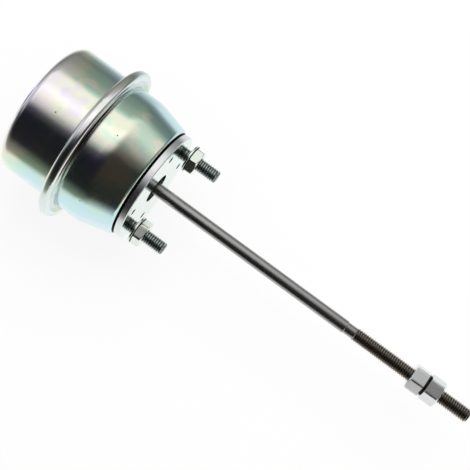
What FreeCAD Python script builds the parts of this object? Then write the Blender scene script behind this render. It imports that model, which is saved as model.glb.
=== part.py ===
"""Wastegate actuator: a pressed steel can with a sprung piston that pushes a long threaded rod.

Frame: +X runs along the rod towards its threaded tip, +Z is up, and the two mounting studs lie on Y.
The origin is the centre of the mounting plate's front face, on the rod's axis. Lengths are millimetres.
The pieces stand as they do with no pressure in the can, so the rod is drawn in.
"""

import FreeCAD, Part
import math
import os
import Sketcher

# Sizes that can be set by themselves: name, value and what it measures

SIZES = [
    ("can_length", 53.4, "rear face of the can to its flat front"),
    ("can_diameter", 57.4, "outside of both covers beside the rolled bead"),
    ("sheet", 1.0, "thickness of both pressed covers"),
    ("rear_corner", 4.0, "outer corner radius of the rear cover"),
    ("front_corner", 1.5, "outer corner radius of the front cover"),
    ("bead_stand", 6.05, "how far the rolled bead stands out from the can's wall"),
    ("bead_front", 28.2, "front of the bead, behind the plate's front face"),
    ("bead_back_bend", 2.0, "outer bend where the bead leaves the rear cover"),
    ("bead_front_bend", 1.2, "outer bend where the lip folds over"),
    ("lip_depth", 2.75, "how far the folded lip reaches in from the bead's crown"),
    ("lip_clearance", 0.25, "between the front cover's rim and the folded lip, on the radius"),
    ("flange_bend", 1.2, "outer bend between a cover's wall and its flange"),
    ("cone_start", 17.5, "where the front cover starts to narrow, behind the plate's front face"),
    ("cone_angle", 15.0, "slope of the front cover's cone, in degrees"),
    ("cone_bend", 22.0, "outer bend between the front cover's wall and its cone"),
    ("cover_hole", 14.0, "hole for the rod guide in the front cover"),
    ("plate_diameter", 48.3, "mounting plate"),
    ("plate_thickness", 3.0, "mounting plate"),
    ("plate_edge", 0.3, "edge break of the mounting plate"),
    ("plate_hole", 13.0, "centre hole of the mounting plate"),
    ("weld_dent", 2.9, "four dents in the mounting plate's face, where its weld projections were pressed"),
    ("weld_dent_depth", 1.8, "those dents"),
    ("weld_pad", 4.6, "four weld projections on the mounting plate's back, flattened by the welding"),
    ("weld_gap", 0.6, "gap that the weld projections leave between the plate and the front cover"),
    ("weld_circle", 35.0, "circle of the four dents and projections"),
    ("weld_angle", 50.0, "first dent's place round the plate, from the studs' line, in degrees"),
    ("stud_spacing", 35.4, "between the two studs' axes"),
    ("stud_thread", 5.95, "outside of the studs' thread"),
    ("stud_length", 17.0, "a stud's free length from the plate's front face"),
    ("stud_head", 8.2, "a stud's head, flush in the back of the plate"),
    ("stud_head_height", 1.4, "a stud's head"),
    ("stud_tip", 0.8, "chamfer at a stud's tip"),
    ("washer_gap", 3.1, "plate's front face to the loose washers"),
    ("washer_diameter", 11.8, "stud washers"),
    ("washer_hole", 6.4, "stud washers"),
    ("washer_thickness", 1.0, "stud washers"),
    ("washer_edge", 0.2, "edge break of the stud washers"),
    ("nut_flats", 10.0, "all four nuts, across flats"),
    ("stud_nut_height", 3.9, "stud nuts"),
    ("rod_nut_height", 6.5, "both nuts on the rod"),
    ("nut_corner", 0.55, "how far the corner chamfer of a nut reaches along it"),
    ("rod_diameter", 5.35, "plain rod"),
    ("rod_shank_end", 92.5, "end of the plain rod, before the plate's front face"),
    ("neck_diameter", 4.8, "relief neck behind the rod's thread"),
    ("neck_length", 4.4, "relief neck"),
    ("rod_thread", 5.95, "outside of the rod's thread"),
    ("rod_tip", 151.2, "rod's tip, before the plate's front face"),
    ("rod_tip_chamfer", 0.9, "chamfer at the rod's tip"),
    ("adjusting_nut_place", 123.9, "back of the adjusting nut"),
    ("nut_gap", 0.4, "between the adjusting nut and the lock nut"),
    ("thread_clearance", 0.02, "between a thread and its nut, on the radius"),
    ("piston_room", 4.5, "between the piston cup's wall and the front cover's, for the diaphragm's roll"),
    ("piston_sheet", 1.0, "piston cup"),
    ("piston_depth", 24.8, "piston cup"),
    ("piston_corner", 2.0, "outer corner radius of the piston cup"),
    ("diaphragm", 1.25, "thickness of the diaphragm"),
    ("roll_depth", 5.0, "diaphragm's roll, front of the clamped edge to its tip"),
    ("wall_clearance", 0.2, "between the diaphragm's roll and the front cover, on the radius"),
    ("roll_clearance", 0.1, "between the diaphragm's roll and the piston, on the radius"),
    ("retainer_diameter", 34.0, "round plate that holds the diaphragm on the piston"),
    ("retainer_thickness", 1.5, "round plate that holds the diaphragm on the piston"),
    ("retainer_bend", 0.9, "rounding of that plate's rim"),
    ("backing_washer", 16.0, "washer between the rod's shoulder and the piston"),
    ("backing_washer_thickness", 1.5, "washer between the rod's shoulder and the piston"),
    ("tail_diameter", 4.0, "rod's tail through the piston"),
    ("rivet_diameter", 8.4, "formed head on the rod's tail"),
    ("rivet_height", 2.2, "formed head on the rod's tail"),
    ("rivet_bend", 1.7, "rounding of the formed head"),
    ("stop_gap", 0.3, "formed head to the rear cover with the rod drawn in"),
    ("seat_room", 2.2, "between the spring seat's rim and the front cover's cone, on the radius"),
    ("seat_sheet", 1.0, "spring seat"),
    ("seat_collar", 3.0, "how far the spring seat's collar stands up"),
    ("spring_wire", 3.2, "return spring's wire"),
    ("spring_clearance", 0.3, "between the spring and the pieces that centre it, on the radius"),
    ("guide_flange", 18.0, "rod guide's flange"),
    ("guide_flange_thickness", 1.6, "rod guide's flange"),
    ("guide_sleeve", 10.0, "rod guide's sleeve"),
    ("guide_length", 12.0, "rod guide, front to back"),
    ("guide_clearance", 0.06, "between the rod and its guide, on the radius"),
    ("press_clearance", 0.03, "between pieces that are pressed together, on the radius"),
    ("nipple_inset", 11.7, "hose nipple's axis inside the lowest line of the can's wall"),
    ("nipple_diameter", 6.0, "hose nipple"),
    ("nipple_bore", 3.6, "hose nipple"),
    ("nipple_length", 10.4, "hose nipple, from the rear face of the can"),
    ("nipple_tip", 0.4, "chamfer at the hose nipple's end"),
    ("nipple_flange", 11.0, "hose nipple's brazed flange"),
    ("nipple_flange_thickness", 1.4, "hose nipple's brazed flange"),
]

# Half the flat stretch that keeps the two bends at the tip of the diaphragm's roll apart

ROLL_FLAT = 0.05

# Counts and turns that aren't lengths

ACTIVE_HALF_COILS = 9
CLOSED_HALF_COILS = 2
WELD_PROJECTIONS = 4
FULL_TURN = 360.0
UPPER_NUT_TURN = 41.0
LOWER_NUT_TURN = 2.0
ADJUSTING_NUT_TURN = 46.0
LOCK_NUT_TURN = 55.0

doc = FreeCAD.newDocument("wastegate_actuator")
sheet = doc.addObject("Spreadsheet::Sheet", "Sizes")


class Size:
    """A length that carries both its value and the formula that ties it to the sheet."""

    def __init__(self, value, formula):
        self.value = value
        self.formula = formula

    def __add__(self, other):
        other = as_size(other)
        return Size(self.value + other.value, f"({self.formula} + {other.formula})")

    def __sub__(self, other):
        other = as_size(other)
        return Size(self.value - other.value, f"({self.formula} - {other.formula})")

    def __mul__(self, other):
        other = as_size(other)
        return Size(self.value * other.value, f"({self.formula} * {other.formula})")

    def __truediv__(self, other):
        other = as_size(other)
        return Size(self.value / other.value, f"({self.formula} / {other.formula})")

    def __neg__(self):
        return Size(-self.value, f"(-1 * {self.formula})")

    __radd__ = __add__
    __rmul__ = __mul__


def as_size(number):
    """A plain number as a size, so that the two mix in one formula."""
    return number if isinstance(number, Size) else Size(float(number), str(number))


def tangent(degrees):
    """Tangent of an angle that the sheet holds as a plain number of degrees."""
    return Size(math.tan(math.radians(degrees.value)), f"tan({degrees.formula} * 1 deg)")


def cosine(degrees):
    """Cosine of an angle that the sheet holds as a plain number of degrees."""
    return Size(math.cos(math.radians(degrees.value)), f"cos({degrees.formula} * 1 deg)")


def sine(degrees):
    """Sine of an angle that the sheet holds as a plain number of degrees."""
    return Size(math.sin(math.radians(degrees.value)), f"sin({degrees.formula} * 1 deg)")


def fill_sheet():
    """Write every size into the sheet and return it by name."""
    sizes = {}
    for row, (name, value, meaning) in enumerate(SIZES, start=1):
        sheet.set(f"A{row}", meaning)
        sheet.set(f"B{row}", str(value))
        sheet.setAlias(f"B{row}", name)
        sizes[name] = Size(value, f"Sizes.{name}")
    doc.recompute()
    return sizes


size = fill_sheet()

# Stations along the rod and radii, worked out from the sizes

sheet_t = size["sheet"]
can_radius = size["can_diameter"] / 2
bead_radius = can_radius + size["bead_stand"]
lip_edge_radius = bead_radius - size["lip_depth"]
plate_back = -size["plate_thickness"]
can_front = plate_back - size["weld_gap"]
can_back = can_front - size["can_length"]
lip_front = -size["bead_front"]
flange_front = lip_front - sheet_t
edge_front = flange_front - sheet_t
edge_back = edge_front - size["diaphragm"]
bead_back = edge_back - sheet_t

cone_slope = tangent(size["cone_angle"])
cone_start = -size["cone_start"]
cone_front_radius = can_radius - (can_front - cone_start) * cone_slope
cone_wall = sheet_t / cosine(size["cone_angle"])
cone_shift = (cone_wall - sheet_t) / cone_slope
inner_front_radius = cone_front_radius + sheet_t * cone_slope - cone_wall

rivet_back = can_back + sheet_t + size["stop_gap"]
retainer_back = rivet_back + size["rivet_height"]
diaphragm_back = retainer_back + size["retainer_thickness"]
piston_back = diaphragm_back + size["diaphragm"]
piston_floor = piston_back + size["piston_sheet"]
shoulder = piston_floor + size["backing_washer_thickness"]
piston_rim = piston_back + size["piston_depth"]
piston_radius = can_radius - sheet_t - size["piston_room"]
roll_tip = edge_front + size["roll_depth"]
roll_outer = can_radius - sheet_t - size["wall_clearance"]
roll_inner = piston_radius + size["roll_clearance"]
rim_radius = bead_radius - size["bead_back_bend"] - size["press_clearance"]
seat_face = can_front - sheet_t - size["seat_sheet"]
seat_radius = inner_front_radius - size["seat_room"]
nipple_offset = can_radius - size["nipple_inset"]

tail_hole = size["tail_diameter"] / 2 + size["press_clearance"]
thread_start = size["rod_shank_end"] + size["neck_length"]
adjusting_nut_back = size["adjusting_nut_place"]
lock_nut_back = adjusting_nut_back + size["rod_nut_height"] + size["nut_gap"]
stud_offset = size["stud_spacing"] / 2


def body_named(name):
    """A body whose label names its file."""
    body = doc.addObject("PartDesign::Body", name)
    body.Label = name
    return body


def sketch_on(body, role, name):
    """A sketch on one of the body's own origin planes."""
    sketch = body.newObject("Sketcher::SketchObject", f"{body.Name}_{name}")
    plane = next(item for item in body.Origin.OriginFeatures if item.Role == role)
    sketch.AttachmentSupport = (plane, [""])
    sketch.MapMode = "FlatFace"
    return sketch


def bind(sketch, constraint, formula):
    """Add one constraint and tie its value to the sheet."""
    index = sketch.addConstraint(constraint)
    sketch.setExpression(f"Constraints[{index}]", formula)


def place_point(sketch, geometry, end, x, y):
    """Tie one point of a sketch to its two coordinates."""
    bind(sketch, Sketcher.Constraint("DistanceX", -1, 1, geometry, end, x.value), x.formula)
    bind(sketch, Sketcher.Constraint("DistanceY", -1, 1, geometry, end, y.value), y.formula)


def vector(x, y):
    """A point of a sketch."""
    return FreeCAD.Vector(x, y, 0)


def rounding(before, corner, after, radius):
    """Where a corner's arc starts, its middle and where it ends."""
    to_before = (before - corner).normalize()
    to_after = (after - corner).normalize()
    half_angle = to_before.getAngle(to_after) / 2
    reach = radius / math.tan(half_angle)
    centre_line = (to_before + to_after).normalize()
    centre = corner + centre_line * (radius / math.sin(half_angle))
    middle = centre - centre_line * radius
    return corner + to_before * reach, middle, corner + to_after * reach


def draw_outline(sketch, corners):
    """Draw a closed outline through corners given as (x, y) or (x, y, bend radius)."""
    points = [vector(corner[0].value, corner[1].value) for corner in corners]
    count = len(corners)
    bends = {}
    for index, corner in enumerate(corners):
        if len(corner) > 2:
            after = points[(index + 1) % count]
            bends[index] = rounding(points[index - 1], points[index], after, corner[2].value)
    lines = []
    for index in range(count):
        following = (index + 1) % count
        start = bends[index][2] if index in bends else points[index]
        finish = bends[following][0] if following in bends else points[following]
        lines.append(sketch.addGeometry(Part.LineSegment(start, finish), False))
    for index, corner in enumerate(corners):
        before, line = lines[index - 1], lines[index]
        if index not in bends:
            sketch.addConstraint(Sketcher.Constraint("Coincident", before, 2, line, 1))
            place_point(sketch, line, 1, corner[0], corner[1])
            continue
        arc_shape = Part.Arc(*bends[index])
        arc = sketch.addGeometry(arc_shape, False)
        start_end, finish_end = arc_ends(sketch, arc, bends[index][0])
        sketch.addConstraint(Sketcher.Constraint("Tangent", before, 2, arc, start_end))
        sketch.addConstraint(Sketcher.Constraint("Tangent", arc, finish_end, line, 1))
        point = sketch.addGeometry(Part.Point(points[index]), True)
        sketch.addConstraint(Sketcher.Constraint("PointOnObject", point, 1, before))
        sketch.addConstraint(Sketcher.Constraint("PointOnObject", point, 1, line))
        place_point(sketch, point, 1, corner[0], corner[1])
        bend = Sketcher.Constraint("Radius", arc, corner[2].value)
        bind(sketch, bend, corner[2].formula)


def arc_ends(sketch, arc, start):
    """Which end of an arc lies at a point, and the other one, as the sketch numbers them."""
    first, second = sketch.getPoint(arc, 1), sketch.getPoint(arc, 2)
    first_is_start = first.distanceToPoint(start) < second.distanceToPoint(start)
    return (1, 2) if first_is_start else (2, 1)


def revolve(body, sketch):
    """Turn a sketch about the rod's direction."""
    feature = body.newObject("PartDesign::Revolution", f"{body.Name}_turned")
    feature.Profile = sketch
    feature.ReferenceAxis = (sketch, ["H_Axis"])
    feature.Angle = FULL_TURN
    sketch.Visibility = False
    return feature


def turned(name, corners):
    """A piece turned about X from the outline of its half section."""
    body = body_named(name)
    sketch = sketch_on(body, "XY_Plane", "section")
    draw_outline(sketch, corners)
    revolve(body, sketch)
    doc.recompute()
    return body


def circle_sketch(body, name, y, z, radius):
    """A circle on the plane across the rod's axis."""
    sketch = sketch_on(body, "YZ_Plane", name)
    centre = vector(y.value, z.value)
    circle = sketch.addGeometry(Part.Circle(centre, FreeCAD.Vector(0, 0, 1), radius.value), False)
    place_point(sketch, circle, 3, y, z)
    bind(sketch, Sketcher.Constraint("Radius", circle, radius.value), radius.formula)
    return sketch


def cut(body, sketch, name, depth=None, backwards=False):
    """Cut a sketch through a body, or to a depth, and make sure that it took material away."""
    doc.recompute()
    before = body.Shape.Volume
    pocket = body.newObject("PartDesign::Pocket", f"{body.Name}_{name}")
    pocket.Profile = sketch
    pocket.Reversed = backwards
    if depth is None:
        pocket.Type = "ThroughAll"
        pocket.Midplane = True
    else:
        pocket.Type = "Length"
        pocket.setExpression("Length", depth.formula)
    doc.recompute()
    if not body.Shape.Volume < before:
        raise RuntimeError(f"{pocket.Name} cuts nothing")
    return pocket


def raise_boss(body, sketch, name, height):
    """Raise a sketch from a body, away from the plate's face, and make sure that it added material."""
    doc.recompute()
    before = body.Shape.Volume
    boss = body.newObject("PartDesign::Pad", f"{body.Name}_{name}")
    boss.Profile = sketch
    boss.Reversed = True
    boss.setExpression("Length", height.formula)
    doc.recompute()
    if not body.Shape.Volume > before:
        raise RuntimeError(f"{boss.Name} adds nothing")
    return boss


def repeat(body, feature, count, name):
    """Repeat a cut or a boss evenly about the rod's axis."""
    axis = next(item for item in body.Origin.OriginFeatures if item.Role == "X_Axis")
    pattern = body.newObject("PartDesign::PolarPattern", f"{body.Name}_{name}")
    pattern.Originals = [feature]
    pattern.Axis = (axis, [""])
    pattern.Angle = FULL_TURN
    pattern.Occurrences = count
    body.Tip = pattern
    doc.recompute()
    return pattern


def move(body, x=None, y=None, z=None):
    """Place a piece, each coordinate tied to the sheet."""
    for letter, place in (("x", x), ("y", y), ("z", z)):
        if place is not None:
            body.setExpression(f"Placement.Base.{letter}", place.formula)


ZERO = as_size(0)

# Pressed covers, rolled together at the bead


def make_rear_cover():
    """The pressure side: a drawn cup whose flange is rolled over the front cover's."""
    inside = can_radius - sheet_t
    bend = size["flange_bend"]
    corners = [
        (can_back, ZERO),
        (can_back, can_radius, size["rear_corner"]),
        (bead_back, can_radius, bend),
        (bead_back, bead_radius, size["bead_back_bend"]),
        (lip_front, bead_radius, size["bead_front_bend"]),
        (lip_front, lip_edge_radius),
        (flange_front, lip_edge_radius),
        (flange_front, bead_radius - sheet_t, size["bead_front_bend"] - sheet_t),
        (edge_back, bead_radius - sheet_t, size["bead_back_bend"] - sheet_t),
        (edge_back, inside, bend + sheet_t),
        (can_back + sheet_t, inside, size["rear_corner"] - sheet_t),
        (can_back + sheet_t, ZERO),
    ]
    body = turned("rear_cover", corners)
    hole_radius = size["nipple_diameter"] / 2 + size["press_clearance"]
    hole = circle_sketch(body, "nipple_hole", ZERO, -nipple_offset, hole_radius)
    cut(body, hole, "nipple_hole")
    return body


def make_front_cover():
    """The spring side: a drawn cup that narrows to a flat front under the mounting plate."""
    inside = can_radius - sheet_t
    bend = size["flange_bend"]
    flange_radius = bead_radius - sheet_t - size["lip_clearance"]
    corners = [
        (can_front, size["cover_hole"] / 2),
        (can_front, cone_front_radius, size["front_corner"]),
        (cone_start, can_radius, size["cone_bend"]),
        (flange_front, can_radius, bend),
        (flange_front, flange_radius),
        (edge_front, flange_radius),
        (edge_front, inside, bend + sheet_t),
        (cone_start - cone_shift, inside, size["cone_bend"] - sheet_t),
        (can_front - sheet_t, inner_front_radius, size["front_corner"] - sheet_t),
        (can_front - sheet_t, size["cover_hole"] / 2),
    ]
    return turned("front_cover", corners)


def make_hose_nipple():
    """A tube brazed into the rear cover, its inner end let through the sheet."""
    outer = size["nipple_diameter"] / 2
    bore = size["nipple_bore"] / 2
    flange = size["nipple_flange"] / 2
    flange_back = -size["nipple_flange_thickness"]
    tip = -size["nipple_length"]
    tip_break = size["nipple_tip"]
    corners = [
        (sheet_t, bore),
        (sheet_t, outer),
        (ZERO, outer),
        (ZERO, flange),
        (flange_back, flange, size["nipple_flange_thickness"] / 2),
        (flange_back, outer),
        (tip + tip_break, outer),
        (tip, outer - tip_break),
        (tip, bore),
    ]
    body = turned("hose_nipple", corners)
    move(body, x=can_back, z=-nipple_offset)
    return body


# Mounting plate, its studs and what is screwed on them


def make_mounting_plate():
    """A thick disc with a centre hole, stud holes sunk from behind and four weld projections."""
    hole = size["plate_hole"] / 2
    rim = size["plate_diameter"] / 2
    edge = size["plate_edge"]
    corners = [
        (plate_back, hole),
        (plate_back, rim - edge),
        (plate_back + edge, rim),
        (-edge, rim),
        (ZERO, rim - edge),
        (ZERO, hole),
    ]
    body = turned("mounting_plate", corners)
    shank_radius = size["stud_thread"] / 2 + size["press_clearance"]
    shank_hole = circle_sketch(body, "stud_hole", stud_offset, ZERO, shank_radius)
    repeat(body, cut(body, shank_hole, "stud_hole"), 2, "stud_holes")
    head_radius = size["stud_head"] / 2 + size["press_clearance"]
    head_hole = circle_sketch(body, "head_hole", stud_offset, ZERO, head_radius)
    head_hole.setExpression("AttachmentOffset.Base.z", plate_back.formula)
    head_pocket = cut(body, head_hole, "head_hole", size["stud_head_height"], backwards=True)
    repeat(body, head_pocket, 2, "head_holes")
    across = size["weld_circle"] / 2 * cosine(size["weld_angle"])
    upwards = size["weld_circle"] / 2 * sine(size["weld_angle"])
    dent = circle_sketch(body, "weld_dent", across, upwards, size["weld_dent"] / 2)
    repeat(body, cut(body, dent, "weld_dent", size["weld_dent_depth"]), WELD_PROJECTIONS, "weld_dents")
    pad = circle_sketch(body, "weld_pad", across, upwards, size["weld_pad"] / 2)
    pad.setExpression("AttachmentOffset.Base.z", plate_back.formula)
    repeat(body, raise_boss(body, pad, "weld_pad", size["weld_gap"]), WELD_PROJECTIONS, "weld_pads")
    return body


def make_stud(name, side):
    """A stud with a flat head, pressed through the plate from behind."""
    head = size["stud_head"] / 2
    thread = size["stud_thread"] / 2
    tip = size["stud_tip"]
    head_front = plate_back + size["stud_head_height"]
    corners = [
        (plate_back, ZERO),
        (plate_back, head),
        (head_front, head),
        (head_front, thread),
        (size["stud_length"] - tip, thread),
        (size["stud_length"], thread - tip),
        (size["stud_length"], ZERO),
    ]
    body = turned(name, corners)
    move(body, y=stud_offset * side)
    return body


def make_washer(name, side):
    """A plain washer, loose on its stud under the nut."""
    hole = size["washer_hole"] / 2
    rim = size["washer_diameter"] / 2
    edge = size["washer_edge"]
    corners = [
        (ZERO, hole),
        (ZERO, rim - edge),
        (edge, rim),
        (size["washer_thickness"] - edge, rim),
        (size["washer_thickness"], rim - edge),
        (size["washer_thickness"], hole),
    ]
    body = turned(name, corners)
    move(body, x=size["washer_gap"], y=stud_offset * side)
    return body


def draw_hexagon(sketch, flats):
    """A hexagon about the sketch's origin with two sides across the given flats."""
    corner_radius = flats / math.sqrt(3)
    places = [
        vector(math.cos(math.radians(60 * i)), math.sin(math.radians(60 * i))) * corner_radius.value
        for i in range(6)
    ]
    for index in range(6):
        sketch.addGeometry(Part.LineSegment(places[index], places[(index + 1) % 6]), False)
    circle = sketch.addGeometry(
        Part.Circle(vector(0, 0), FreeCAD.Vector(0, 0, 1), corner_radius.value), True
    )
    for index in range(6):
        following = (index + 1) % 6
        sketch.addConstraint(Sketcher.Constraint("Coincident", index, 2, following, 1))
        sketch.addConstraint(Sketcher.Constraint("PointOnObject", index, 1, circle))
        if following:
            sketch.addConstraint(Sketcher.Constraint("Equal", index, following))
    sketch.addConstraint(Sketcher.Constraint("Coincident", circle, 3, -1, 1))
    sketch.addConstraint(Sketcher.Constraint("PointOnObject", 0, 1, -1))
    bind(sketch, Sketcher.Constraint("Radius", circle, corner_radius.value), corner_radius.formula)


def make_nut(name, height, thread, turn):
    """A hexagon nut with its corners chamfered at both faces."""
    body = body_named(name)
    hexagon = sketch_on(body, "YZ_Plane", "hexagon")
    draw_hexagon(hexagon, size["nut_flats"])
    pad = body.newObject("PartDesign::Pad", f"{name}_block")
    pad.Profile = hexagon
    pad.setExpression("Length", height.formula)
    bore = circle_sketch(body, "bore", ZERO, ZERO, thread / 2 + size["thread_clearance"])
    cut(body, bore, "bore")
    corner = size["nut_flats"] / math.sqrt(3)
    flat = size["nut_flats"] / 2
    reach = size["nut_corner"]
    outside = corner + reach
    for face, inward in ((ZERO, reach), (height, -reach)):
        sketch = sketch_on(body, "XY_Plane", "chamfer")
        over = face - inward
        slope_end = face + inward
        start = flat - (corner - flat)
        draw_outline(sketch, [(slope_end, corner), (slope_end, outside), (over, outside), (over, start)])
        before = body.Shape.Volume
        groove = body.newObject("PartDesign::Groove", f"{name}_chamfer")
        groove.Profile = sketch
        groove.ReferenceAxis = (sketch, ["H_Axis"])
        groove.Angle = FULL_TURN
        doc.recompute()
        if not body.Shape.Volume < before:
            raise RuntimeError(f"{groove.Name} cuts nothing")
    body.Placement.Rotation = FreeCAD.Rotation(FreeCAD.Vector(1, 0, 0), turn)
    return body


def make_stud_sets():
    """Both studs, each with its loose washer and nut."""
    sides = (("upper", 1, UPPER_NUT_TURN), ("lower", -1, LOWER_NUT_TURN))
    for word, side, turn in sides:
        make_stud(f"stud_{word}", side)
        make_washer(f"stud_washer_{word}", side)
        nut = make_nut(f"stud_nut_{word}", size["stud_nut_height"], size["stud_thread"], turn)
        move(nut, x=size["washer_gap"] + size["washer_thickness"], y=stud_offset * side)


# Push rod and the nuts on it


def make_push_rod():
    """A long rod with a shouldered, riveted tail and a threaded end behind a relief neck."""
    plain = size["rod_diameter"] / 2
    neck = size["neck_diameter"] / 2
    thread = size["rod_thread"] / 2
    tail = size["tail_diameter"] / 2
    rivet = size["rivet_diameter"] / 2
    chamfer = size["rod_tip_chamfer"]
    corners = [
        (rivet_back, ZERO),
        (rivet_back, rivet, size["rivet_bend"]),
        (retainer_back, rivet),
        (retainer_back, tail),
        (shoulder, tail),
        (shoulder, plain),
        (size["rod_shank_end"], plain),
        (size["rod_shank_end"] + (plain - neck), neck),
        (thread_start - (thread - neck), neck),
        (thread_start, thread),
        (size["rod_tip"] - chamfer, thread),
        (size["rod_tip"], thread - chamfer),
        (size["rod_tip"], ZERO),
    ]
    return turned("push_rod", corners)


def make_rod_nuts():
    """The nut that sets the rod's reach and the one that locks it."""
    adjusting = make_nut("adjusting_nut", size["rod_nut_height"], size["rod_thread"], ADJUSTING_NUT_TURN)
    move(adjusting, x=adjusting_nut_back)
    lock = make_nut("lock_nut", size["rod_nut_height"], size["rod_thread"], LOCK_NUT_TURN)
    move(lock, x=lock_nut_back)


# Piston, diaphragm and what clamps them to the rod


def make_piston():
    """A drawn cup that carries the diaphragm's roll and the spring's rear end."""
    wall = size["piston_sheet"]
    corner = size["piston_corner"]
    corners = [
        (piston_back, tail_hole),
        (piston_back, piston_radius, corner),
        (piston_rim, piston_radius),
        (piston_rim, piston_radius - wall),
        (piston_floor, piston_radius - wall, corner - wall),
        (piston_floor, tail_hole),
    ]
    return turned("piston", corners)


def make_diaphragm():
    """A rolling diaphragm, clamped in the bead and folded over the piston's wall."""
    rubber = size["diaphragm"]
    tip_bend = (roll_outer - roll_inner) / 2 - ROLL_FLAT
    edge_bend = size["flange_bend"] + sheet_t
    corners = [
        (edge_back, rim_radius),
        (edge_front, rim_radius),
        (edge_front, roll_outer, edge_bend),
        (roll_tip, roll_outer, tip_bend),
        (roll_tip, roll_inner, tip_bend),
        (piston_back, roll_inner, size["piston_corner"]),
        (piston_back, tail_hole),
        (diaphragm_back, tail_hole),
        (diaphragm_back, roll_inner + rubber, size["piston_corner"] + rubber),
        (roll_tip - rubber, roll_inner + rubber, tip_bend - rubber),
        (roll_tip - rubber, roll_outer - rubber, tip_bend - rubber),
        (edge_back, roll_outer - rubber, edge_bend + rubber),
    ]
    return turned("diaphragm", corners)


def make_diaphragm_retainer():
    """A round plate with a turned-back rim that presses the diaphragm on the piston."""
    rim = size["retainer_diameter"] / 2
    corners = [
        (retainer_back, tail_hole),
        (retainer_back, rim, size["retainer_bend"]),
        (diaphragm_back, rim),
        (diaphragm_back, tail_hole),
    ]
    return turned("diaphragm_retainer", corners)


def make_backing_washer():
    """A washer that spreads the rod's push over the piston's floor."""
    rim = size["backing_washer"] / 2
    corners = [
        (piston_floor, tail_hole),
        (piston_floor, rim),
        (shoulder, rim),
        (shoulder, tail_hole),
    ]
    return turned("backing_washer", corners)


# Return spring, its seat and the rod's guide


def make_spring_seat():
    """A flanged ring in the front cover whose collar centres the spring."""
    wall = size["seat_sheet"]
    spring_inner = spring_mean_radius() - size["spring_wire"] / 2
    collar = spring_inner - size["spring_clearance"]
    collar_back = seat_face - size["seat_collar"]
    front = seat_face + wall
    corners = [
        (front, collar - wall),
        (front, seat_radius),
        (seat_face, seat_radius),
        (seat_face, collar),
        (collar_back, collar),
        (collar_back, collar - wall),
    ]
    return turned("spring_seat", corners)


def spring_mean_radius():
    """The spring fills the piston cup but for its clearance."""
    return piston_radius - size["piston_sheet"] - size["spring_clearance"] - size["spring_wire"] / 2


def spring_rises():
    """How far each half coil climbs: closed coils at both ends, open ones between."""
    wire = size["spring_wire"].value
    total = (seat_face - piston_floor).value - wire
    closed = wire / 2
    opened = (total - 2 * CLOSED_HALF_COILS * closed) / ACTIVE_HALF_COILS
    ends = [closed] * CLOSED_HALF_COILS
    return ends + [opened] * ACTIVE_HALF_COILS + ends


def make_return_spring():
    """A round wire bent through half coils, each a tilted semicircle tangent to the next."""
    wire = size["spring_wire"].value
    mean = spring_mean_radius().value
    place = FreeCAD.Vector(piston_floor.value + wire / 2, mean, 0)
    arcs = []
    side = 1
    for rise in spring_rises():
        following = FreeCAD.Vector(place.x + rise, -place.y, 0)
        middle = (place + following) / 2
        half_span = place.distanceToPoint(following) / 2
        crest = FreeCAD.Vector(middle.x, middle.y, side * half_span)
        arcs.append(Part.Arc(place, crest, following).toShape())
        place = following
        side = -side
    path = Part.Wire(arcs)
    start = path.Vertexes[0].Point
    section = Part.Wire(Part.makeCircle(wire / 2, start, FreeCAD.Vector(0, 0, 1)))
    spring = doc.addObject("Part::Feature", "return_spring")
    spring.Label = "return_spring"
    spring.Shape = path.makePipeShell([section], True, True)
    return spring


def make_rod_guide():
    """A flanged bush in the front cover's hole, with running clearance on the rod."""
    bore = size["rod_diameter"] / 2 + size["guide_clearance"]
    spigot = size["cover_hole"] / 2 - size["press_clearance"]
    cover_inside = can_front - sheet_t
    flange_back = cover_inside - size["guide_flange_thickness"]
    guide_back = can_front - size["guide_length"]
    corners = [
        (can_front, bore),
        (can_front, spigot),
        (cover_inside, spigot),
        (cover_inside, size["guide_flange"] / 2),
        (flange_back, size["guide_flange"] / 2),
        (flange_back, size["guide_sleeve"] / 2),
        (guide_back, size["guide_sleeve"] / 2),
        (guide_back, bore),
    ]
    return turned("rod_guide", corners)


def make_all():
    """Every piece of the actuator."""
    make_rear_cover()
    make_front_cover()
    make_hose_nipple()
    make_mounting_plate()
    make_stud_sets()
    make_push_rod()
    make_rod_nuts()
    make_piston()
    make_diaphragm()
    make_diaphragm_retainer()
    make_backing_washer()
    make_spring_seat()
    make_return_spring()
    make_rod_guide()
    doc.recompute()


def pieces():
    """The document's bodies and plain solids, one for each file."""
    kinds = ("PartDesign::Body", "Part::Feature")
    return [item for item in doc.Objects if item.TypeId in kinds]


def check_document():
    """Stop if any object failed or any piece isn't one valid solid."""
    for item in doc.Objects:
        if "Invalid" in item.State or "Error" in item.State:
            raise RuntimeError(f"{item.Name} failed: {item.State}")
    for piece in pieces():
        shape = piece.Shape
        if shape.isNull() or not shape.isValid() or len(shape.Solids) != 1:
            raise RuntimeError(f"{piece.Label} isn't one valid solid")


def write_pieces():
    """One file for each piece, named by its label."""
    os.makedirs("parts", exist_ok=True)
    for piece in pieces():
        piece.Shape.exportStep(f"parts/{piece.Label}.step")
        print(f"{piece.Label}: {piece.Shape.Volume:.1f} cubic mm")


make_all()
check_document()
write_pieces()
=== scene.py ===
# %% [markdown]
# # Wastegate actuator: its looks
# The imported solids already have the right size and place. This file gives each of them the finish of
# the real one, cuts the fine threads that the solids leave out, and sets up a small studio with a
# camera where the photograph's was. Every length is in metres, with X along the push rod, Z up and
# the two studs on Y.

# %% Load the solids
import bmesh
import bpy
import math
from mathutils import Matrix, Vector


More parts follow.
